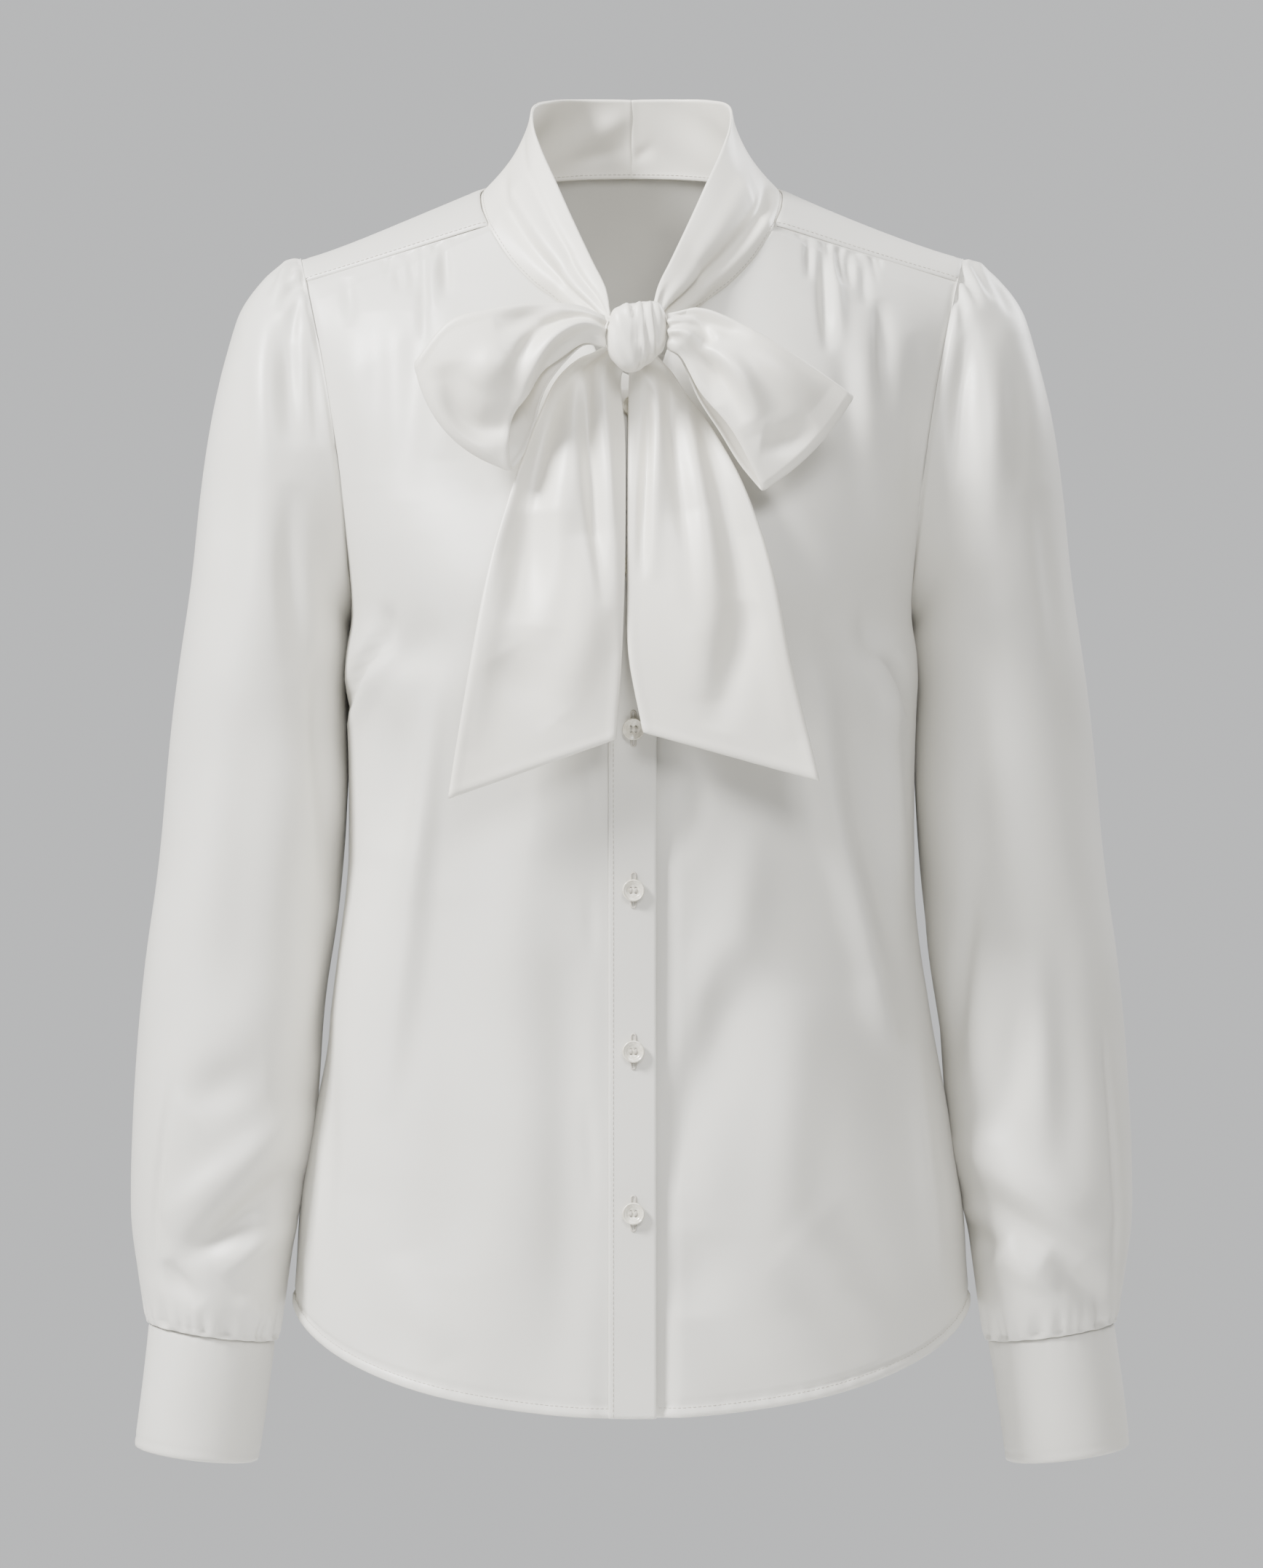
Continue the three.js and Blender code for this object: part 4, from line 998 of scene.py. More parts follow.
def yoke_grid(front_rows, back_rows, columns):
    """The yoke, from the right front seam round the back of the neck to the left one"""
    turn = np.linspace(0, 1, front_rows)
    share = np.linspace(1, 0, back_rows)[1:]
    neck = np.concatenate([1 - 0.5 * turn, 0.5 * share])
    outer = np.concatenate([armhole(mix(YOKE_FRONT_ANGLE, YOKE_BACK_ANGLE, turn)), back_seam(share)])
    bulge = np.concatenate([13 * smooth(0.35, 1, turn), mix(7, 13, share)])
    t = np.linspace(0, 1, columns)
    start = neck_back(neck, 1)
    points = mix(start[:, None, :], outer[:, None, :], t[None, :, None])
    lift = bulge[:, None] * 4 * t * (1 - t)
    points[..., 1] += 0.8 * lift
    points[..., 2] += 0.6 * lift
    right = points * np.array([-1, 1, 1])
    whole = np.concatenate([right, points[:-1][::-1]])
    # The cloth rounds off inside its corners, while its edges stay in their seams
    ease = 0.5 * np.sqrt(4 * t * (1 - t))[None, :, None]
    for _ in range(YOKE_EASINGS):
        whole[1:-1] += ease * ((whole[:-2] + whole[2:]) / 2 - whole[1:-1])
    return whole


# Sleeves and cuffs

def sleeve_points(sections, share, angle):
    inner_x, inner_z, outer_x, outer_z, depth, middle_y = (
        read(sections, "at", column, share)
        for column in ("innerX", "innerZ", "outerX", "outerZ", "depth", "middleY")
    )
    turn = np.radians(angle)
    x = (inner_x + outer_x) / 2 + np.cos(turn) * (outer_x - inner_x) / 2
    z = (inner_z + outer_z) / 2 + np.cos(turn) * (outer_z - inner_z) / 2
    return stack(x, middle_y - depth * np.sin(turn), z)


def sleeve_grid(rows, columns):
    """The left sleeve, from the armhole seam to the cuff"""
    share = close_ends(rows, 0.5)[:, None] ** 1.08
    angle = np.linspace(-180, 180, columns, endpoint=False)[None, :]
    points = sleeve_points(SLEEVE, share, angle)
    ring = SLEEVE_ROWS * share ** (1 / 1.15)
    blend = 1 - smooth(0, 3, ring)
    return mix(points, armhole(angle), blend[..., None]), share, angle


def sleeve_relief(points, share, angle, creases, head_turn):
    sizes = bpy.context.scene.blouse_cloth
    x, y, z = points[..., 0], points[..., 1], points[..., 2]
    middle = read(SLEEVE, "at", "middleY", share)
    front = smooth(-8, 8, middle - y)
    ends = smooth(0, 0.02, share) * smooth(0, 0.02, 1 - share)
    height = front * crease_height(creases, x, z, sizes.fold_strength) * ends
    height += (1 - front) * crease_height(SLEEVE_BACK_CREASES, x, z, sizes.fold_strength) * ends
    top = edge_distance(points, "top")
    foot = edge_distance(points, "foot")
    around = np.broadcast_to(angle, x.shape)
    tuck = sizes.gather_depth / MM
    first, last, count, length = HEAD_GATHERS
    height += 1.2 * gather_height(around, top, first + head_turn, last + head_turn, count, length, tuck)
    height += 2 * gather_height(around, foot, *CUFF_GATHERS, tuck)
    # Cloth stands a little proud between the tucks of the head
    height += 1.6 * hump(top - 9, 9) * hump(around - 12, 60)
    height += seam_roll(points, ["top"], 1.6, 1.9) + seam_roll(points, ["foot"], 0.9)
    # Slack waves that run round and down the sleeve
    drape = 1.3 * np.sin(around / 31 + share * 9) * np.sin(share * 21 + around / 57)
    return height + drape * smooth(0, 0.1, share) * smooth(0, 0.1, 1 - share)


def cuff_grid(rows, columns):
    share = np.linspace(0, 1, rows)[:, None]
    angle = np.linspace(-180, 180, columns, endpoint=False)[None, :]
    return sleeve_points(CUFF, share, angle), share, angle


# Collar and bow

def collar_stations():
    """The collar's foot along the neck seam, from the centre back to behind the knot"""
    back = neck_back(np.linspace(0, 0.5, 10)[:-1], 1)
    yoke = neck_back(np.linspace(0.5, 1, 8), 1)
    down = np.arange(1, 9) / ARM_ROWS
    x = read(FRONT_NECK, "at", "x", down)
    z = read(FRONT_NECK, "at", "z", down)
    front = stack(x, front_y(x, z), z)
    ends = np.array([[25, -98, -77], [15, -112, -83.5], [7, -121.4, -87]])
    return np.concatenate([back, yoke, front, ends])


def smooth_line(points, count):
    """A line of points made even and rounded"""
    lengths = np.concatenate([[0], np.cumsum(np.linalg.norm(np.diff(points, axis=0), axis=1))])
    rows = {"at": lengths / lengths[-1], "x": points[:, 0], "y": points[:, 1], "z": points[:, 2]}
    at = np.linspace(0, 1, count)
    return stack(*(read(rows, "at", column, at) for column in ("x", "y", "z")))


def collar_grid(side, rows, columns):
    foot = smooth_line(collar_stations(), rows) * np.array([side, 1, 1])
    share = np.linspace(0, 1, rows)
    x, y, z, bulge = (read(COLLAR_TOP, "at", column, share) for column in ("x", "y", "z", "bulge"))
    top = stack(side * x, y, z)
    along = np.gradient(foot, axis=0)
    out = np.cross(along, top - foot)
    out *= -side / np.linalg.norm(out, axis=-1, keepdims=True)
    t = np.linspace(0, 1, columns)
    points = mix(foot[:, None, :], top[:, None, :], t[None, :, None])
    lift = bulge[:, None] * 4 * t * (1 - t)
    return points + out[:, None, :] * lift[..., None], share[:, None], t[None, :]


def collar_relief(points, share, t, side):
    """Soft lengthwise folds of the band, which deepen towards the knot"""
    sizes = bpy.context.scene.blouse_cloth
    height = np.zeros(points.shape[:2])
    folds = [(0.3, 0.34, 0.09, -2.2), (0.45, 0.52, 0.12, 1.2), (0.74, 0.68, 0.07, -1)]
    if side > 0:
        folds = [(0.2, 0.4, 0.08, -3), (0.08, 0.22, 0.08, 1.2), (0.5, 0.62, 0.14, 1)]
    for start, end, width, depth in folds:
        centre = mix(start, end, smooth(0.4, 1, share))
        fade = smooth(0.4, 0.62, share) * (1 - 0.5 * smooth(0.93, 1, share))
        height += sizes.fold_strength * depth * fade * hump(t - centre, width)
    height += 0.8 * np.sin(share * 26 + t * 4) * np.sin(t * math.pi) * (1 - smooth(0.3, 0.5, share))
    height += seam_roll(points, ["top", "first"], 0.5)
    if side < 0:
        height += 1.6 * hump(share - 0.075, 0.05) * hump(t - 0.3 - 1.2 * (0.075 - share), 0.12)
        height -= 1.2 * hump(share - 0.06, 0.05) * hump(t - 0.66 - 2 * (0.06 - share), 0.15)
    else:
        height += 1.1 * hump(share - 0.025, 0.022) * hump(t - 0.32 - 3 * (share - 0.025), 0.1)
    tucks = 1.1 * np.sin(17 * t + 2 * np.sin(5 * t + side)) * smooth(0.88, 1, share)
    return height + tucks


def loop_grid(sections, tip_bulge, front_cut, rows, columns):
    """A bow loop: out from the knot in front, over at its outer fold and back behind"""
    step = np.linspace(0, 1, rows)[:, None]
    t = np.linspace(0, 1, columns)[None, :]
    out = np.sin(step * math.pi) ** 0.9
    front = np.where(step < 0.5, -1, 1)
    top_x, top_z, low_x, low_z, half = (
        read(sections, "out", column, out) for column in ("topX", "topZ", "lowX", "lowZ", "half")
    )
    round_off = half * np.minimum(np.abs(step - 0.5) * 11, 1) ** 0.5
    cut = np.where(step < 0.5, front_cut * np.sin(math.pi * out ** 1.5), 0)
    low = t * (1 - cut)
    x = mix(top_x, low_x, low)
    z = mix(top_z, low_z, low)
    tip = np.concatenate([-(low_z - top_z), low_x - top_x], axis=1)
    tip /= np.linalg.norm(tip, axis=1, keepdims=True)
    tip *= np.sign(tip[:, :1] * top_x) * tip_bulge * out ** 3
    swell = 4 * t * (1 - t)
    x = x + tip[:, :1] * swell
    z = z + tip[:, 1:] * swell
    crown = 0.55 + 0.45 * np.sin(math.pi * t)
    y = LOOP_Y + front * round_off * crown - 2 * (1 - out)
    return stack(x, y, z), step, t


def seam_band(points, edges, width=4.5, lift=0.22):
    """The seam allowance inside a turned strip shows as a slightly thicker band with a crisp edge"""
    height = np.zeros(points.shape[:2])
    for edge in edges:
        height += lift * (1 - smooth(width - 0.6, width + 0.6, edge_distance(points, edge)))
        height -= 0.5 * hump(edge_distance(points, edge), 0.7)
    return height


def tail_grid(sections, fold_phase, rows, columns):
    share = np.linspace(0, 1, rows)[:, None]
    t = np.linspace(0, 1, columns)[None, :]
    left_x, left_z, right_x, right_z, y = (
        read(sections, "at", column, share) for column in ("leftX", "leftZ", "rightX", "rightZ", "y")
    )
    ripple = np.sin((t * 2 + fold_phase) * math.pi)
    y = y + 3.2 * ripple * (1 - 0.75 * share) * smooth(0, 0.1, share)
    return stack(mix(left_x, right_x, t), y, mix(left_z, right_z, t)), share, t


def placket_grid(rows, columns):
    """The buttonhole band over the edge of the right front"""
    total_rows = ARM_ROWS + SIDE_ROWS
    v = np.linspace(ARM_ROWS, total_rows, rows)[:, None]
    low = (v - ARM_ROWS) / SIDE_ROWS
    side_z = mix(ARMHOLE_Z - ARMHOLE_HALF_HEIGHT, SIDE_HEM_Z, low)
    outer_x = read(BODY, "z", "half", side_z)
    inner_z = mix(LAP_TOP_Z, SIDE_HEM_Z - FRONT_HEM_DROP, low)
    x = -LAP_RIGHT + PLACKET_WIDTH * np.linspace(0, 1, columns)[None, :]
    sag = mix(1.0, hem_curve(np.maximum(x / outer_x, 0)), smooth(0.5, 1, v / total_rows))
    z = mix(side_z, inner_z, sag)
    return stack(-x, front_y(x, z) - PLACKET_LIFT, z)


def stitching_grid(points, centre):
    """The grid that topstitching lies on, just proud of the cloth"""
    return points + outward(points, centre) * STITCH_RISE


def line_at(points, edge, distance):
    """A line that keeps a set distance in from one edge of a grid, measured along the cloth"""
    grid = points if edge in ("top", "foot") else points.transpose(1, 0, 2)
    if edge in ("foot", "last"):
        grid = grid[::-1]
    reach = edge_distance(grid, "top")
    return np.array([
        [np.interp(distance, reach[:, j], grid[:, j, k]) for k in range(3)]
        for j in range(grid.shape[1])
    ])


def ring_centres(points):
    return points.mean(axis=1, keepdims=True)


def thread_ring(path, radius, flat=False, sides=6):
    """Points and faces of a ring of thread along a path, which may lie flat on the front"""
    ahead = np.roll(path, -1, axis=0) - np.roll(path, 1, axis=0)
    ahead /= np.linalg.norm(ahead, axis=1, keepdims=True)
    if flat:
        side = np.cross(ahead, [0, 1, 0])
    else:
        side = path - path.mean(axis=0)
        side -= (side * ahead).sum(axis=1, keepdims=True) * ahead
    side /= np.linalg.norm(side, axis=1, keepdims=True)
    other = np.cross(ahead, side)
    turn = np.linspace(0, 2 * math.pi, sides, endpoint=False)
    rim = side[:, None] * np.cos(turn)[None, :, None] + other[:, None] * np.sin(turn)[None, :, None]
    points = path[:, None] + rim * radius
    index = np.arange(len(path) * sides).reshape(len(path), sides)
    along = np.roll(index, -1, axis=0)
    faces = np.stack([index, np.roll(index, -1, axis=1), np.roll(along, -1, axis=1), along], axis=-1)
    return points.reshape(-1, 3), faces.reshape(-1, 4).tolist()


def joined(name, parts, material):
    """One object from several lots of points and faces"""
    points = []
    faces = []
    total = 0
    for some_points, some_faces in parts:
        points.append(some_points)
        faces += [[corner + total for corner in face] for face in some_faces]
        total += len(some_points)
    return new_object(name, np.concatenate(points), faces, material)


def buttonholes(name):
    """Upright buttonholes: a stadium of close zigzag thread round each slit"""
    half = BUTTONHOLE_LENGTH / 2 - BUTTONHOLE_WIDTH / 2
    turn = np.linspace(0, math.pi, 9)
    parts = []
    for k in range(BUTTON_COUNT):
        middle = FIRST_BUTTON_Z - k * BUTTON_PITCH
        x = BUTTON_X + BUTTONHOLE_WIDTH / 2 * np.concatenate([np.cos(turn), np.cos(turn + math.pi)])
        z = middle + np.concatenate([half + np.sin(turn) * BUTTONHOLE_WIDTH / 2,
                                     -half + np.sin(turn + math.pi) * BUTTONHOLE_WIDTH / 2])
        path = stack(x, front_y(np.abs(x), z) - PLACKET_LIFT - 0.1, z)
        parts.append(thread_ring(path, BUTTONHOLE_RADIUS, flat=True))
    return joined(name, parts, thread_finish())


def knot_mesh(name, material):
    """The knot with the folds of the strip wrapped round it"""
    rings, around = KNOT_GRID
    lift = ((np.arange(1, rings) / rings - 0.5) * math.pi)[:, None]
    turn = np.linspace(0, 2 * math.pi, around, endpoint=False)[None, :]

    def spread(value, power):
        return np.sign(value) * np.abs(value) ** power

    wide = spread(np.cos(lift), 0.48)
    unit = stack(wide * spread(np.cos(turn), 0.62), wide * spread(np.sin(turn), 0.7),
                 spread(np.sin(lift), 0.8))
    local = unit * KNOT_HALF
    x = local[..., 0]
    drawn_up = np.where(local[..., 2] < 0, 1 - 0.36 * smooth(-3, 15, x), 1.0)
    drawn_in = np.where(local[..., 2] < 0, 1 - 0.3 * smooth(-2, -15, x), 1.0)
    local[..., 2] = local[..., 2] * drawn_up * drawn_in + 0.14 * x
    z = local[..., 2]
    front = smooth(-0.1, 0.5, -unit[..., 1])
    height = np.zeros(x.shape)
    for k in range(len(KNOT_FOLDS["depth"])):
        fold = {column: values[k] for column, values in KNOT_FOLDS.items()}
        share = (KNOT_HALF[2] - z) / (2 * KNOT_HALF[2])
        line = mix(fold["topX"], fold["footX"], share) + fold["bow"] * np.sin(math.pi * share)
        gap = x - line
        flank = np.where(gap > 0, hump(gap, fold["soft"]), hump(gap, fold["crisp"]))
        height -= fold["depth"] * front * flank
    low = smooth(-2, -11, z)
    height -= 0.9 * front * low * (0.5 - 0.5 * np.cos(x * 2.1)) * smooth(-1, 3, x)
    height += 0.25 * np.sin(x * 0.8 + z * 0.35)
    out = unit / np.linalg.norm(unit, axis=-1, keepdims=True)
    points = (local + out * height[..., None] + KNOT_CENTRE).reshape(-1, 3)
    index = np.arange((rings - 1) * around).reshape(rings - 1, around)
    after = np.roll(index, -1, axis=1)
    quads = np.stack([index[:-1], after[:-1], after[1:], index[1:]], axis=-1).reshape(-1, 4).tolist()
    foot, head = len(points), len(points) + 1
    ends = np.stack([points[index[0]].mean(axis=0), points[index[-1]].mean(axis=0)])
    points = np.concatenate([points, ends])
    caps = [[foot, int(after[0, j]), int(index[0, j])] for j in range(around)]
    caps += [[head, int(index[-1, j]), int(after[-1, j])] for j in range(around)]
    return new_object(name, points, quads + caps, material)


def button_frame(z):
    """Middle of a button's back and its own axes: across, up and out"""
    step = BUTTON_RADIUS
    slope = float(front_y(0.0, z + step) - front_y(0.0, z - step)) / (2 * step)
    out = np.array([0, -1, slope]) / math.hypot(1, slope)
    across = np.array([1.0, 0, 0])
    base = np.array([BUTTON_X, float(front_y(0.0, z)) - BUTTON_STAND, z])
    return base, np.stack([across, np.cross(out, across), out])


def button_holes():
    reach = HOLE_SPACING / 2
    return [(reach, reach), (-reach, reach), (-reach, -reach), (reach, -reach)]


def round_path(centre, radius, count):
    turn = np.linspace(0, 2 * math.pi, count, endpoint=False)
    return np.stack([centre[0] + radius * np.cos(turn), centre[1] + radius * np.sin(turn)], axis=1)


def pierced_disc(radius, count):
    """Flat triangles of a disc with the four thread holes left open"""
    rings = [round_path((0, 0), radius, count)]
    rings += [round_path(hole, HOLE_RIM_RADIUS, HOLE_SIDES) for hole in button_holes()]
    flat = [Vector(point) for point in np.concatenate(rings)]
    edges = []
    start = 0
    for ring in rings:
        edges += [(start + k, start + (k + 1) % len(ring)) for k in range(len(ring))]
        start += len(ring)
    points, _, faces, *_ = delaunay_2d_cdt(flat, edges, [], 1, 1e-5)
    points = np.array([tuple(point) for point in points])
    kept = []
    for face in faces:
        middle = points[list(face)].mean(axis=0)
        if min(math.dist(middle, hole) for hole in button_holes()) > HOLE_RADIUS:
            kept.append(list(face))
    return points, kept


def button_parts():
    """A button in its own frame: rim, dished middle and pierced floor"""
    r, h = BUTTON_RADIUS, BUTTON_HEIGHT
    count = 64
    dish = 0.56 * r
    profile = table("out up", [
        [dish, DISH_SHARE * h],
        [0.6 * r, 0.66 * h],
        [0.64 * r, 0.76 * h],
        [0.7 * r, 0.8 * h],
        [0.82 * r, 0.84 * h],
        [0.87 * r, 0.96 * h],
        [0.91 * r, h],
        [0.96 * r, 0.94 * h],
        [0.99 * r, 0.76 * h],
        [r, 0.5 * h],
        [0.98 * r, 0.32 * h],
        [0.9 * r, 0.12 * h],
        [0.8 * r, 0.02 * h],
        [dish, 0],
    ])
    turn = np.linspace(0, 2 * math.pi, count, endpoint=False)
    rim = stack(profile["out"][:, None] * np.cos(turn), profile["out"][:, None] * np.sin(turn),
                profile["up"][:, None])
    index = np.arange(rim.shape[0] * count).reshape(rim.shape[0], count)
    after = np.roll(index, -1, axis=1)
    faces = np.stack([index[1:], after[1:], after[:-1], index[:-1]], axis=-1).reshape(-1, 4).tolist()
    parts = [(rim.reshape(-1, 3), faces)]
    flat, kept = pierced_disc(dish, count)
    top = np.column_stack([flat, np.full(len(flat), DISH_SHARE * h)])
    low = np.column_stack([flat, np.zeros(len(flat))])
    parts.append((top, kept))
    parts.append((low, [face[::-1] for face in kept]))
    for hole in button_holes():
        ring = round_path(hole, HOLE_RIM_RADIUS, HOLE_SIDES)
        neck = round_path(hole, HOLE_RADIUS, HOLE_SIDES)
        levels = [(ring, DISH_SHARE * h), (neck, 0.56 * h), (neck, 0.06 * h), (ring, 0)]
        points = np.concatenate([np.column_stack([loop, np.full(HOLE_SIDES, up)])
                                 for loop, up in levels])
        grid = np.arange(len(points)).reshape(len(levels), HOLE_SIDES)
        turned = np.roll(grid, -1, axis=1)
        sides = np.stack([grid[:-1], grid[1:], turned[1:], turned[:-1]], axis=-1).reshape(-1, 4)
        parts.append((points, sides.tolist()))
    return parts


def button_mesh(name, z):
    base, axes = button_frame(z)
    parts = [(points @ axes + base, faces) for points, faces in button_parts()]
    button = joined(name, parts, pearl_finish())
    mesh = bmesh.new()
    mesh.from_mesh(button.data)
    bmesh.ops.remove_doubles(mesh, verts=mesh.verts, dist=1e-6)
    bmesh.ops.recalc_face_normals(mesh, faces=mesh.faces)
    mesh.to_mesh(button.data)
    mesh.free()
    return button


def button_thread(name, z):
    """Two bars of thread over the button's middle and a wound shank behind it"""
    base, axes = button_frame(z)
    reach = HOLE_SPACING / 2
    parts = []
    for across in (-reach, reach):
        for strand in (-0.28, 0, 0.28):
            turn = np.linspace(0, 2 * math.pi, 20, endpoint=False)
            half = DISH_SHARE * BUTTON_HEIGHT * 0.5
            up = half + (half + 0.35) * np.sin(turn)
            path = stack(across + strand, reach * 1.12 * np.cos(turn), up)
            points, faces = thread_ring(path, THREAD_RADIUS)
            parts.append((points @ axes + base, faces))
    turn = np.linspace(0, 2 * math.pi, 12, endpoint=False)
    for up in (-0.15, -0.45):
        path = stack(SHANK_RADIUS * np.cos(turn), SHANK_RADIUS * np.sin(turn), up)
        points, faces = thread_ring(path, WINDING_RADIUS)
        parts.append((points @ axes + base, faces))
    return joined(name, parts, thread_finish())


# Stage

def set_camera(stage):
    camera = bpy.data.cameras.new("photo_camera")
    camera.sensor_width = 36
    camera.lens = CAMERA_LENS
    camera.clip_start = 0.05
    camera.clip_end = 20
    seat = bpy.data.objects.new("photo_camera", camera)
    seat.location = (0, -stage.camera_distance, CAMERA_HEIGHT)
    seat.rotation_euler = (math.pi / 2, 0, 0)
    bpy.context.scene.collection.objects.link(seat)
    bpy.context.scene.camera = seat


def set_floor(stage):
    """A plain pale disc well below the hem, out of the picture from the front"""
    material, tree = new_finish("painted_studio_floor")
    place = add_node(tree, "ShaderNodeTexCoord")
    # Roller marks of matt paint, a few centimetres across
    marks = add_node(tree, "ShaderNodeTexNoise", {"Scale": 30.0, "Detail": 2.0},
                     {"Vector": (place, "Object")})
    dull = add_node(tree, "ShaderNodeMapRange", {"To Min": 0.78, "To Max": 0.86},
                    {"Value": (marks, "Fac")})
    shader = add_node(tree, "ShaderNodeBsdfPrincipled", {"Base Color": srgb(stage.floor)},
                      {"Roughness": (dull, "Result")})
    add_node(tree, "ShaderNodeOutputMaterial", links={"Surface": (shader, "BSDF")})
    turn = np.linspace(0, 2 * math.pi, 96, endpoint=False)
    points = stack(FLOOR_RADIUS * np.cos(turn), FLOOR_RADIUS * np.sin(turn), FLOOR_Z)
    new_object("floor", points, [list(range(96))], material)


def area_light(name, place, target, size, power, colour):
    light = bpy.data.lights.new(name, "AREA")
    light.shape = "RECTANGLE"
    light.size, light.size_y = size
    light.energy = power
    light.color = colour
    lamp = bpy.data.objects.new(name, light)
    lamp.location = place
    lamp.rotation_euler = (Vector(target) - Vector(place)).to_track_quat("-Z", "Y").to_euler()
    bpy.context.scene.collection.objects.link(lamp)


def set_lights(stage):
    middle = (0, 0, -0.3)
    area_light("key_light", (-1.8, -1.1, 1.3), middle, (0.65, 0.7), stage.key_power, (1, 0.995, 0.985))
    area_light("front_light", (0.5, -2.4, 1.2), middle, (1.0, 0.9), stage.front_power, (1, 1, 1))
    area_light("top_light", (0, -0.6, 2.0), middle, (1.6, 1.2), stage.top_power, (1, 1, 1))
    area_light("back_light", (1.9, 1.8, 1.2), middle, (1.0, 1.2), stage.back_power, (1, 1, 1))
    world = bpy.data.worlds.new("studio")
    world.use_nodes = True
    tree = world.node_tree
    ground = tree.nodes["Background"]
    ground.inputs["Color"].default_value = srgb(stage.backdrop)
    # The room gives less light than the lit backdrop that the camera sees
    ray = add_node(tree, "ShaderNodeLightPath")
    level = add_node(tree, "ShaderNodeMapRange", {"To Min": stage.room_light, "To Max": 1.0},
                     {"Value": (ray, "Is Camera Ray")})
    tree.links.new(level.outputs["Result"], ground.inputs["Strength"])
    bpy.context.scene.world = world


class BlouseCloth(bpy.types.PropertyGroup):
    """Sizes of the cloth and its sewing"""

    satin_thickness: bpy.props.FloatProperty(
        name="Satin thickness", description="Wall of one layer of satin as it shows at an edge",
        default=0.0006, min=0.0002, max=0.0012, unit="LENGTH", precision=4)
    doubled_thickness: bpy.props.FloatProperty(
        name="Doubled thickness", description="Two layers of satin turned right side out",
        default=0.0014, min=0.0004, max=0.0018, unit="LENGTH", precision=4)
    fold_strength: bpy.props.FloatProperty(
        name="Fold strength", description="Share of each crease's own depth",
        default=1.4, min=0.0, max=2.0, subtype="FACTOR")
    gather_depth: bpy.props.FloatProperty(
        name="Gather depth", description="Depth of a tuck at a gathered seam",
        default=0.0012, min=0.0, max=0.003, unit="LENGTH", precision=4)
    hem_width: bpy.props.FloatProperty(
        name="Hem width", description="Height of the turned hem",
        default=0.0055, min=0.003, max=0.015, unit="LENGTH", precision=4)
    stitch_length: bpy.props.FloatProperty(
        name="Stitch length", description="Length of one stitch that shows",
        default=0.0018, min=0.001, max=0.004, unit="LENGTH", precision=4)
    thread_thickness: bpy.props.FloatProperty(
        name="Thread thickness", description="Diameter of the sewing thread",
        default=0.00045, min=0.0002, max=0.001, unit="LENGTH", precision=4)


class BlouseFinish(bpy.types.PropertyGroup):
    """Colours as sRGB hex"""

    satin: bpy.props.StringProperty(
        name="Satin", description="Lightest tone of one layer of satin", default="#DBD9D2")
    satin_shade: bpy.props.StringProperty(
        name="Satin shade", description="Darker tone of one layer of satin", default="#D0CEC7")
    doubled: bpy.props.StringProperty(
        name="Doubled satin", description="Lightest tone of two layers of satin", default="#EAE7DE")
    doubled_shade: bpy.props.StringProperty(
        name="Doubled satin shade", description="Darker tone of two layers of satin", default="#E2DED3")
    # The thread's tones are painted shade: darker than the satin for the shade of the stitch holes, and
    # darker still between the plies
    thread: bpy.props.StringProperty(
        name="Thread", description="Lightest tone of the thread", default="#D2CEC5")
    thread_painted_shade: bpy.props.StringProperty(
        name="Thread shade", description="Tone between the thread's plies", default="#A6A095")
    button: bpy.props.StringProperty(
        name="Button", description="Lightest tone of the buttons", default="#EBE7DA")
    button_shade: bpy.props.StringProperty(
        name="Button shade", description="Darker clouds in the buttons", default="#CDC7B6")


class BlouseStage(bpy.types.PropertyGroup):
    """Light and ground of the picture"""

    floor: bpy.props.StringProperty(
        name="Floor", description="Colour of the floor", default="#D9D9D8")
    backdrop: bpy.props.StringProperty(
        name="Backdrop", description="Colour of the studio behind the blouse", default="#D9DADB")
    key_power: bpy.props.FloatProperty(
        name="Key light", description="Power of the soft light at the upper left",
        default=205.0, min=0.0, unit="POWER")
    room_light: bpy.props.FloatProperty(
        name="Room light", description="Light the room gives back, as a share of the backdrop's own",
        default=0.42, min=0.0, max=2.0, subtype="FACTOR")
    front_power: bpy.props.FloatProperty(
        name="Front light", description="Power of the soft light over the camera",
        default=60.0, min=0.0, unit="POWER")
    top_power: bpy.props.FloatProperty(
        name="Top light", description="Power of the soft light above",
        default=20.0, min=0.0, unit="POWER")
    back_power: bpy.props.FloatProperty(
        name="Back light", description="Power of the soft light behind the blouse",
        default=90.0, min=0.0, unit="POWER")
    camera_distance: bpy.props.FloatProperty(
        name="Camera distance", description="From the middle of the blouse to the lens",
        default=2.6, min=0.5, unit="LENGTH")


class SewFronts(bpy.types.Operator):
    """Sews the two fronts with their gathers, bust darts and hem"""

    bl_idname = "blouse.sew_fronts"
    bl_label = "Sew fronts"

    def execute(self, context):
        sizes = context.scene.blouse_cloth
        for name, side, lap, creases, dart in (
            ("front_right", -1, LAP_RIGHT, RIGHT_FRONT_CREASES, RIGHT_DART),
            ("front_left", 1, LAP_LEFT, LEFT_FRONT_CREASES, LEFT_DART),
        ):
            points = front_grid(side, lap, *FRONT_GRID)
            if side > 0:
                points = tuck_under(points)
            points = raised(points, front_relief(points, side, creases, dart), BODY_MIDDLE)
            piece = sew(name, points, sizes.satin_thickness / MM, BODY_MIDDLE)
            hem = line_at(stitching_grid(points, BODY_MIDDLE), "foot", sizes.hem_width / MM - 0.6)
            stitched(f"{name}_hem_stitching", [hem])
        return {"FINISHED"}


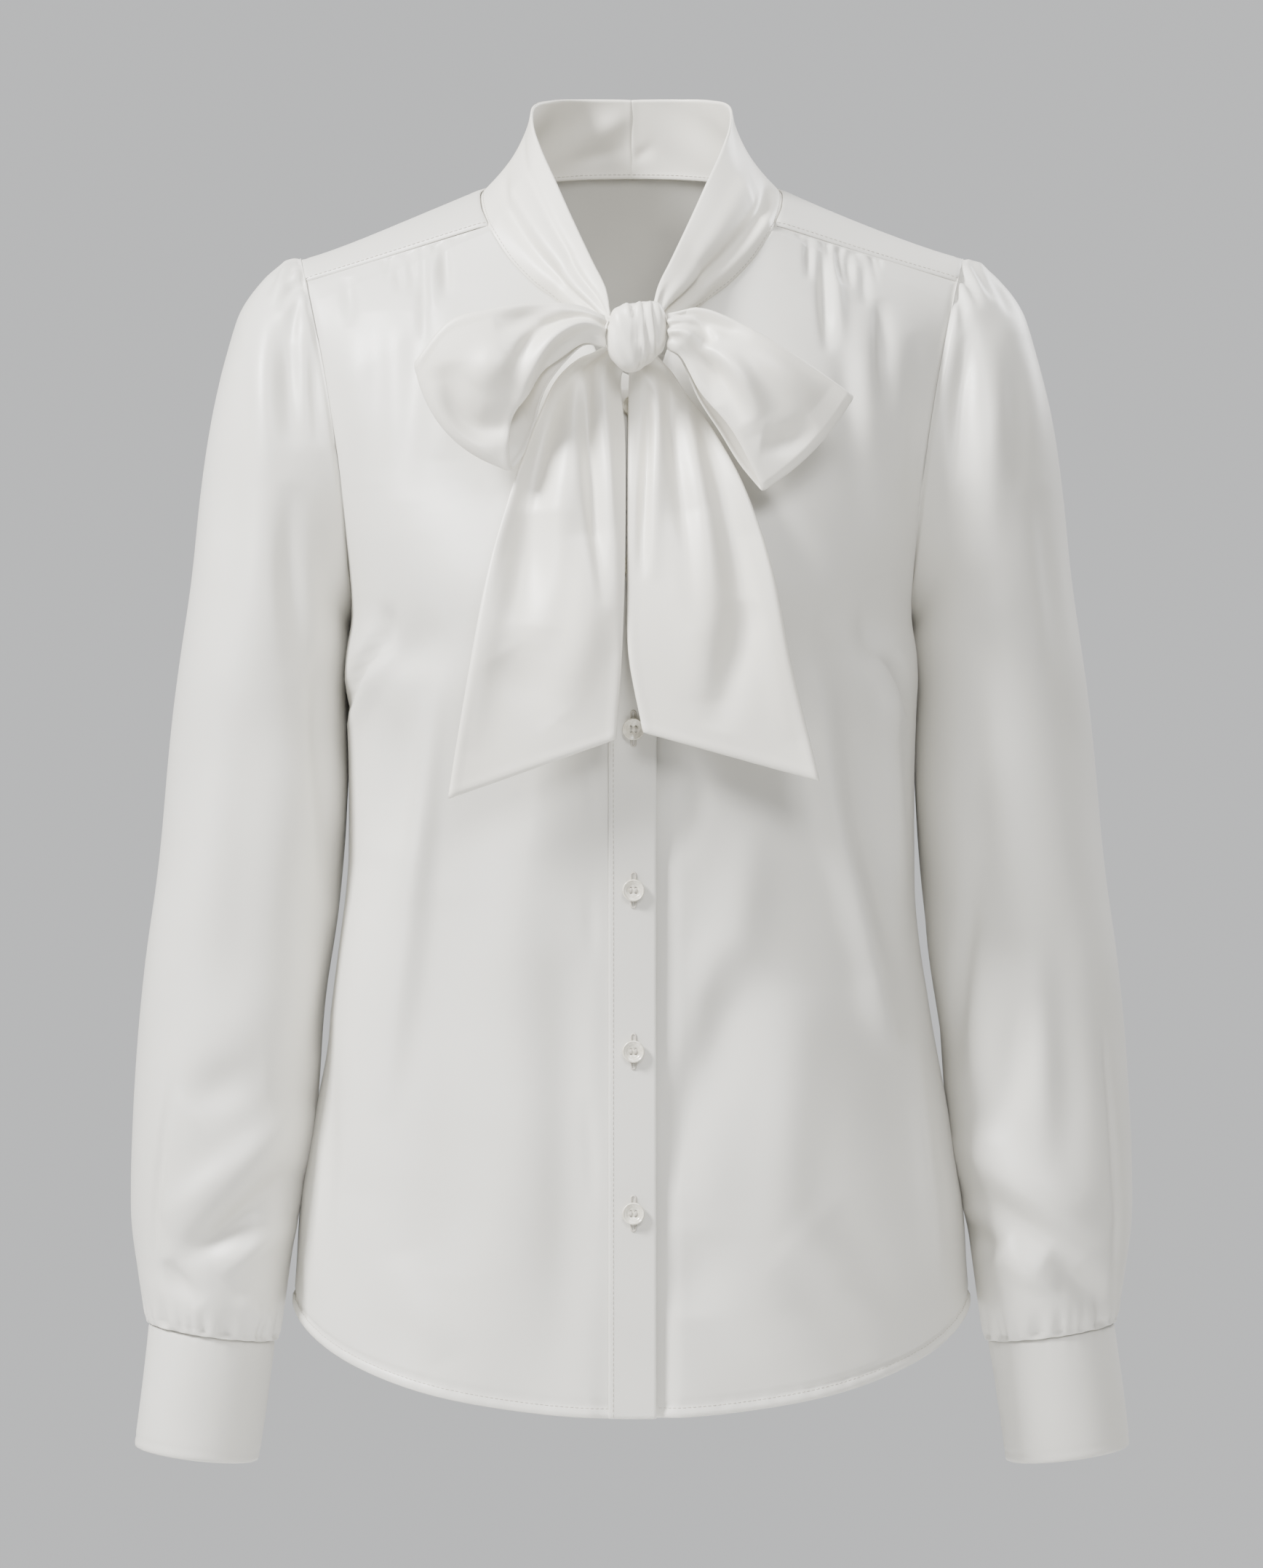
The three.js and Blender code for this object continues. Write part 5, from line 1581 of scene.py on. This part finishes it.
class SewPlacket(bpy.types.Operator):
    """Sews the buttonhole band on the right front, with its buttonholes"""

    bl_idname = "blouse.sew_placket"
    bl_label = "Sew placket"

    def execute(self, context):
        points = placket_grid(*PLACKET_GRID)
        piece = sew("placket", points, COVER_THICKNESS, BODY_MIDDLE)
        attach(buttonholes("buttonholes"), "root")
        proud = stitching_grid(points, BODY_MIDDLE)
        stitched("placket_stitching", [line_at(proud, "last", SEAM_STITCH_INSET)])
        return {"FINISHED"}


class SewBack(bpy.types.Operator):
    """Sews the one-piece back with its soft folds and hem"""

    bl_idname = "blouse.sew_back"
    bl_label = "Sew back"

    def execute(self, context):
        sizes = context.scene.blouse_cloth
        points = back_grid(*BACK_GRID)
        x, z = points[..., 0], points[..., 2]
        edges = np.minimum(edge_distance(points, "first"), edge_distance(points, "last"))
        height = crease_height(BACK_CREASES, x, z, sizes.fold_strength) * smooth(0, 10, edges)
        height += hem_height(points) + seam_roll(points, ["top", "first", "last"])
        points = raised(points, height, BODY_MIDDLE)
        piece = sew("back", points, sizes.satin_thickness / MM, BODY_MIDDLE)
        return {"FINISHED"}


class SewYoke(bpy.types.Operator):
    """Sews the yoke over the shoulders"""

    bl_idname = "blouse.sew_yoke"
    bl_label = "Sew yoke"

    def execute(self, context):
        points = yoke_grid(*YOKE_GRID)
        height = seam_roll(points, ["first", "last"]) + seam_roll(points, ["top", "foot"], 1.3, 1.3)
        height += 0.35 * np.sin(points[..., 0] / 23 + points[..., 1] / 31)
        points = raised(points, height, BODY_MIDDLE)
        piece = sew("yoke", points, COVER_THICKNESS, BODY_MIDDLE)
        proud = stitching_grid(points, BODY_MIDDLE)
        across = line_at(proud, "last", SEAM_STITCH_INSET)[YOKE_FRONT_ROWS:-YOKE_FRONT_ROWS]
        fronts = [line_at(proud, edge, SEAM_STITCH_INSET) for edge in ("top", "foot")]
        stitched("yoke_stitching", [across, *fronts])
        return {"FINISHED"}


class SewSleeves(bpy.types.Operator):
    """Sews both sleeves, gathered at the head and at the cuff"""

    bl_idname = "blouse.sew_sleeves"
    bl_label = "Sew sleeves"

    def execute(self, context):
        sizes = context.scene.blouse_cloth
        for name, side, creases, head_turn in (
            ("sleeve_right", -1, RIGHT_SLEEVE_CREASES, 4),
            ("sleeve_left", 1, LEFT_SLEEVE_CREASES, -3),
        ):
            points, share, angle = sleeve_grid(*SLEEVE_GRID)
            height = sleeve_relief(points, share, angle, creases, head_turn)
            points = raised(points, height, ring_centres(points), True) * np.array([side, 1, 1])
            piece = sew(name, points, sizes.satin_thickness / MM, ring_centres(points), closed=True)
        return {"FINISHED"}


class SewCuffs(bpy.types.Operator):
    """Sews both deep doubled cuffs"""

    bl_idname = "blouse.sew_cuffs"
    bl_label = "Sew cuffs"

    def execute(self, context):
        sizes = context.scene.blouse_cloth
        for name, side in (("cuff_right", -1), ("cuff_left", 1)):
            points, share, angle = cuff_grid(*CUFF_GRID)
            # Drawn in at its seam, at its edge and in a line just above its edge
            drawn_in = -0.6 * hump(share, 0.03) - 0.35 * hump(1 - share, 0.02)
            drawn_in = drawn_in - 0.3 * hump(share - 0.93, 0.02)
            height = drawn_in + 0.7 * np.sin(np.radians(angle) * 3 + side) * np.sin(share * 2.6)
            height += 0.18 * np.sin(angle / 2.1) * hump(share, 0.12)
            points = raised(points, height, ring_centres(points), True) * np.array([side, 1, 1])
            piece = sew(name, points, sizes.doubled_thickness / MM, ring_centres(points), closed=True)
        return {"FINISHED"}


class SewCollar(bpy.types.Operator):
    """Sews the two halves of the doubled collar band"""

    bl_idname = "blouse.sew_collar"
    bl_label = "Sew collar"

    def execute(self, context):
        sizes = context.scene.blouse_cloth
        for name, side in (("collar_right", -1), ("collar_left", 1)):
            points, share, t = collar_grid(side, *COLLAR_GRID)
            points = raised(points, collar_relief(points, share, t, side), COLLAR_MIDDLE)
            thick = sizes.doubled_thickness / MM
            piece = sew(name, points, thick, COLLAR_MIDDLE, doubled=True)
            inner = points - outward(points, COLLAR_MIDDLE) * (thick + STITCH_RISE)
            lines = [line_at(grid, "first", SEAM_STITCH_INSET)
                     for grid in (stitching_grid(points, COLLAR_MIDDLE), inner)]
            stitched(f"{name}_stitching", lines)
        return {"FINISHED"}


class TieBow(bpy.types.Operator):
    """Ties the bow: two loops, two tails and the knot"""

    bl_idname = "blouse.tie_bow"
    bl_label = "Tie bow"

    def execute(self, context):
        sizes = context.scene.blouse_cloth
        thick = sizes.doubled_thickness / MM
        strength = 1.25 * sizes.fold_strength
        for name, sections, bulge, cut, creases in (
            ("loop_right", RIGHT_LOOP, 11.5, 0.22, RIGHT_LOOP_CREASES),
            ("loop_left", LEFT_LOOP, 4.5, 0.1, LEFT_LOOP_CREASES),
        ):
            points, step, t = loop_grid(sections, bulge, cut, *LOOP_GRID)
            middle = points.mean(axis=(0, 1))
            front = 1 - smooth(0.3, 0.48, step)
            creased = crease_height(creases, points[..., 0], points[..., 2], strength)
            height = front * creased + 0.5 * smooth(0.52, 0.7, step) * creased
            near_knot = 1 - smooth(0, 0.15, np.minimum(step, 1 - step))
            tucks = 1.2 * np.sin(13 * t + 2.4 * np.sin(4.3 * t + bulge)) * near_knot
            height += tucks + seam_band(points, ["first", "last"])
            piece = sew(name, raised(points, height, middle), thick, middle, doubled=True)
        for name, sections, phase, creases in (
            ("tail_right", RIGHT_TAIL, 0.2, RIGHT_TAIL_CREASES),
            ("tail_left", LEFT_TAIL, 0.7, LEFT_TAIL_CREASES),
        ):
            points, share, t = tail_grid(sections, phase, *TAIL_GRID)
            height = crease_height(creases, points[..., 0], points[..., 2], strength)
            height += 0.8 * np.sin(15 * t + 2 * np.sin(4 * t)) * (1 - smooth(0, 0.16, share))
            height += seam_band(points, ["first", "last", "foot"])
            points = raised(points, height, BEHIND_TAILS)
            piece = sew(name, points, thick, BEHIND_TAILS, doubled=True)
        knot = knot_mesh("knot_satin", satin_finish(True))
        wear(knot, "knot")
        return {"FINISHED"}


class SewButtons(bpy.types.Operator):
    """Sews the pearly four-hole buttons on"""

    bl_idname = "blouse.sew_buttons"
    bl_label = "Sew buttons"

    def execute(self, context):
        for k in range(BUTTON_COUNT):
            z = FIRST_BUTTON_Z - k * BUTTON_PITCH
            button = button_mesh(f"button_{k + 1}_pearl", z)
            wear(button, f"button_{k + 1}")
            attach(button_thread(f"button_{k + 1}_thread", z), "root")
        return {"FINISHED"}


class SetStage(bpy.types.Operator):
    """Sets the camera, the floor and the soft studio light"""

    bl_idname = "blouse.set_stage"
    bl_label = "Set stage"

    def execute(self, context):
        set_camera(context.scene.blouse_stage)
        set_floor(context.scene.blouse_stage)
        set_lights(context.scene.blouse_stage)
        return {"FINISHED"}


class BlousePanel(bpy.types.Panel):
    """Lists the blouse's steps in the 3D view's sidebar"""

    bl_idname = "VIEW3D_PT_blouse"
    bl_label = "Blouse"
    bl_space_type = "VIEW_3D"
    bl_region_type = "UI"
    bl_category = "Blouse"

    def draw(self, context):
        for group in ("blouse_cloth", "blouse_finish", "blouse_stage"):
            settings = getattr(context.scene, group)
            for name in settings.__annotations__:
                self.layout.prop(settings, name)
        for operator in OPERATORS:
            self.layout.operator(operator.bl_idname)


OPERATORS = (SewFronts, SewPlacket, SewBack, SewYoke, SewSleeves, SewCuffs, SewCollar, TieBow,
             SewButtons, SetStage)
GROUPS = {"blouse_cloth": BlouseCloth, "blouse_finish": BlouseFinish, "blouse_stage": BlouseStage}


def register():
    for group in GROUPS.values():
        bpy.utils.register_class(group)
    for name, group in GROUPS.items():
        setattr(bpy.types.Scene, name, bpy.props.PointerProperty(type=group))
    for operator in OPERATORS:
        bpy.utils.register_class(operator)
    bpy.utils.register_class(BlousePanel)


def unregister():
    bpy.utils.unregister_class(BlousePanel)
    for operator in reversed(OPERATORS):
        bpy.utils.unregister_class(operator)
    for name, group in GROUPS.items():
        delattr(bpy.types.Scene, name)
        bpy.utils.unregister_class(group)


def main():
    register()
    bpy.ops.blouse.sew_fronts()
    bpy.ops.blouse.sew_placket()
    bpy.ops.blouse.sew_back()
    bpy.ops.blouse.sew_yoke()
    bpy.ops.blouse.sew_sleeves()
    bpy.ops.blouse.sew_cuffs()
    bpy.ops.blouse.sew_collar()
    bpy.ops.blouse.tie_bow()
    bpy.ops.blouse.sew_buttons()
    bpy.ops.blouse.set_stage()
    bpy.context.view_layer.update()


if __name__ == "__main__":
    main()
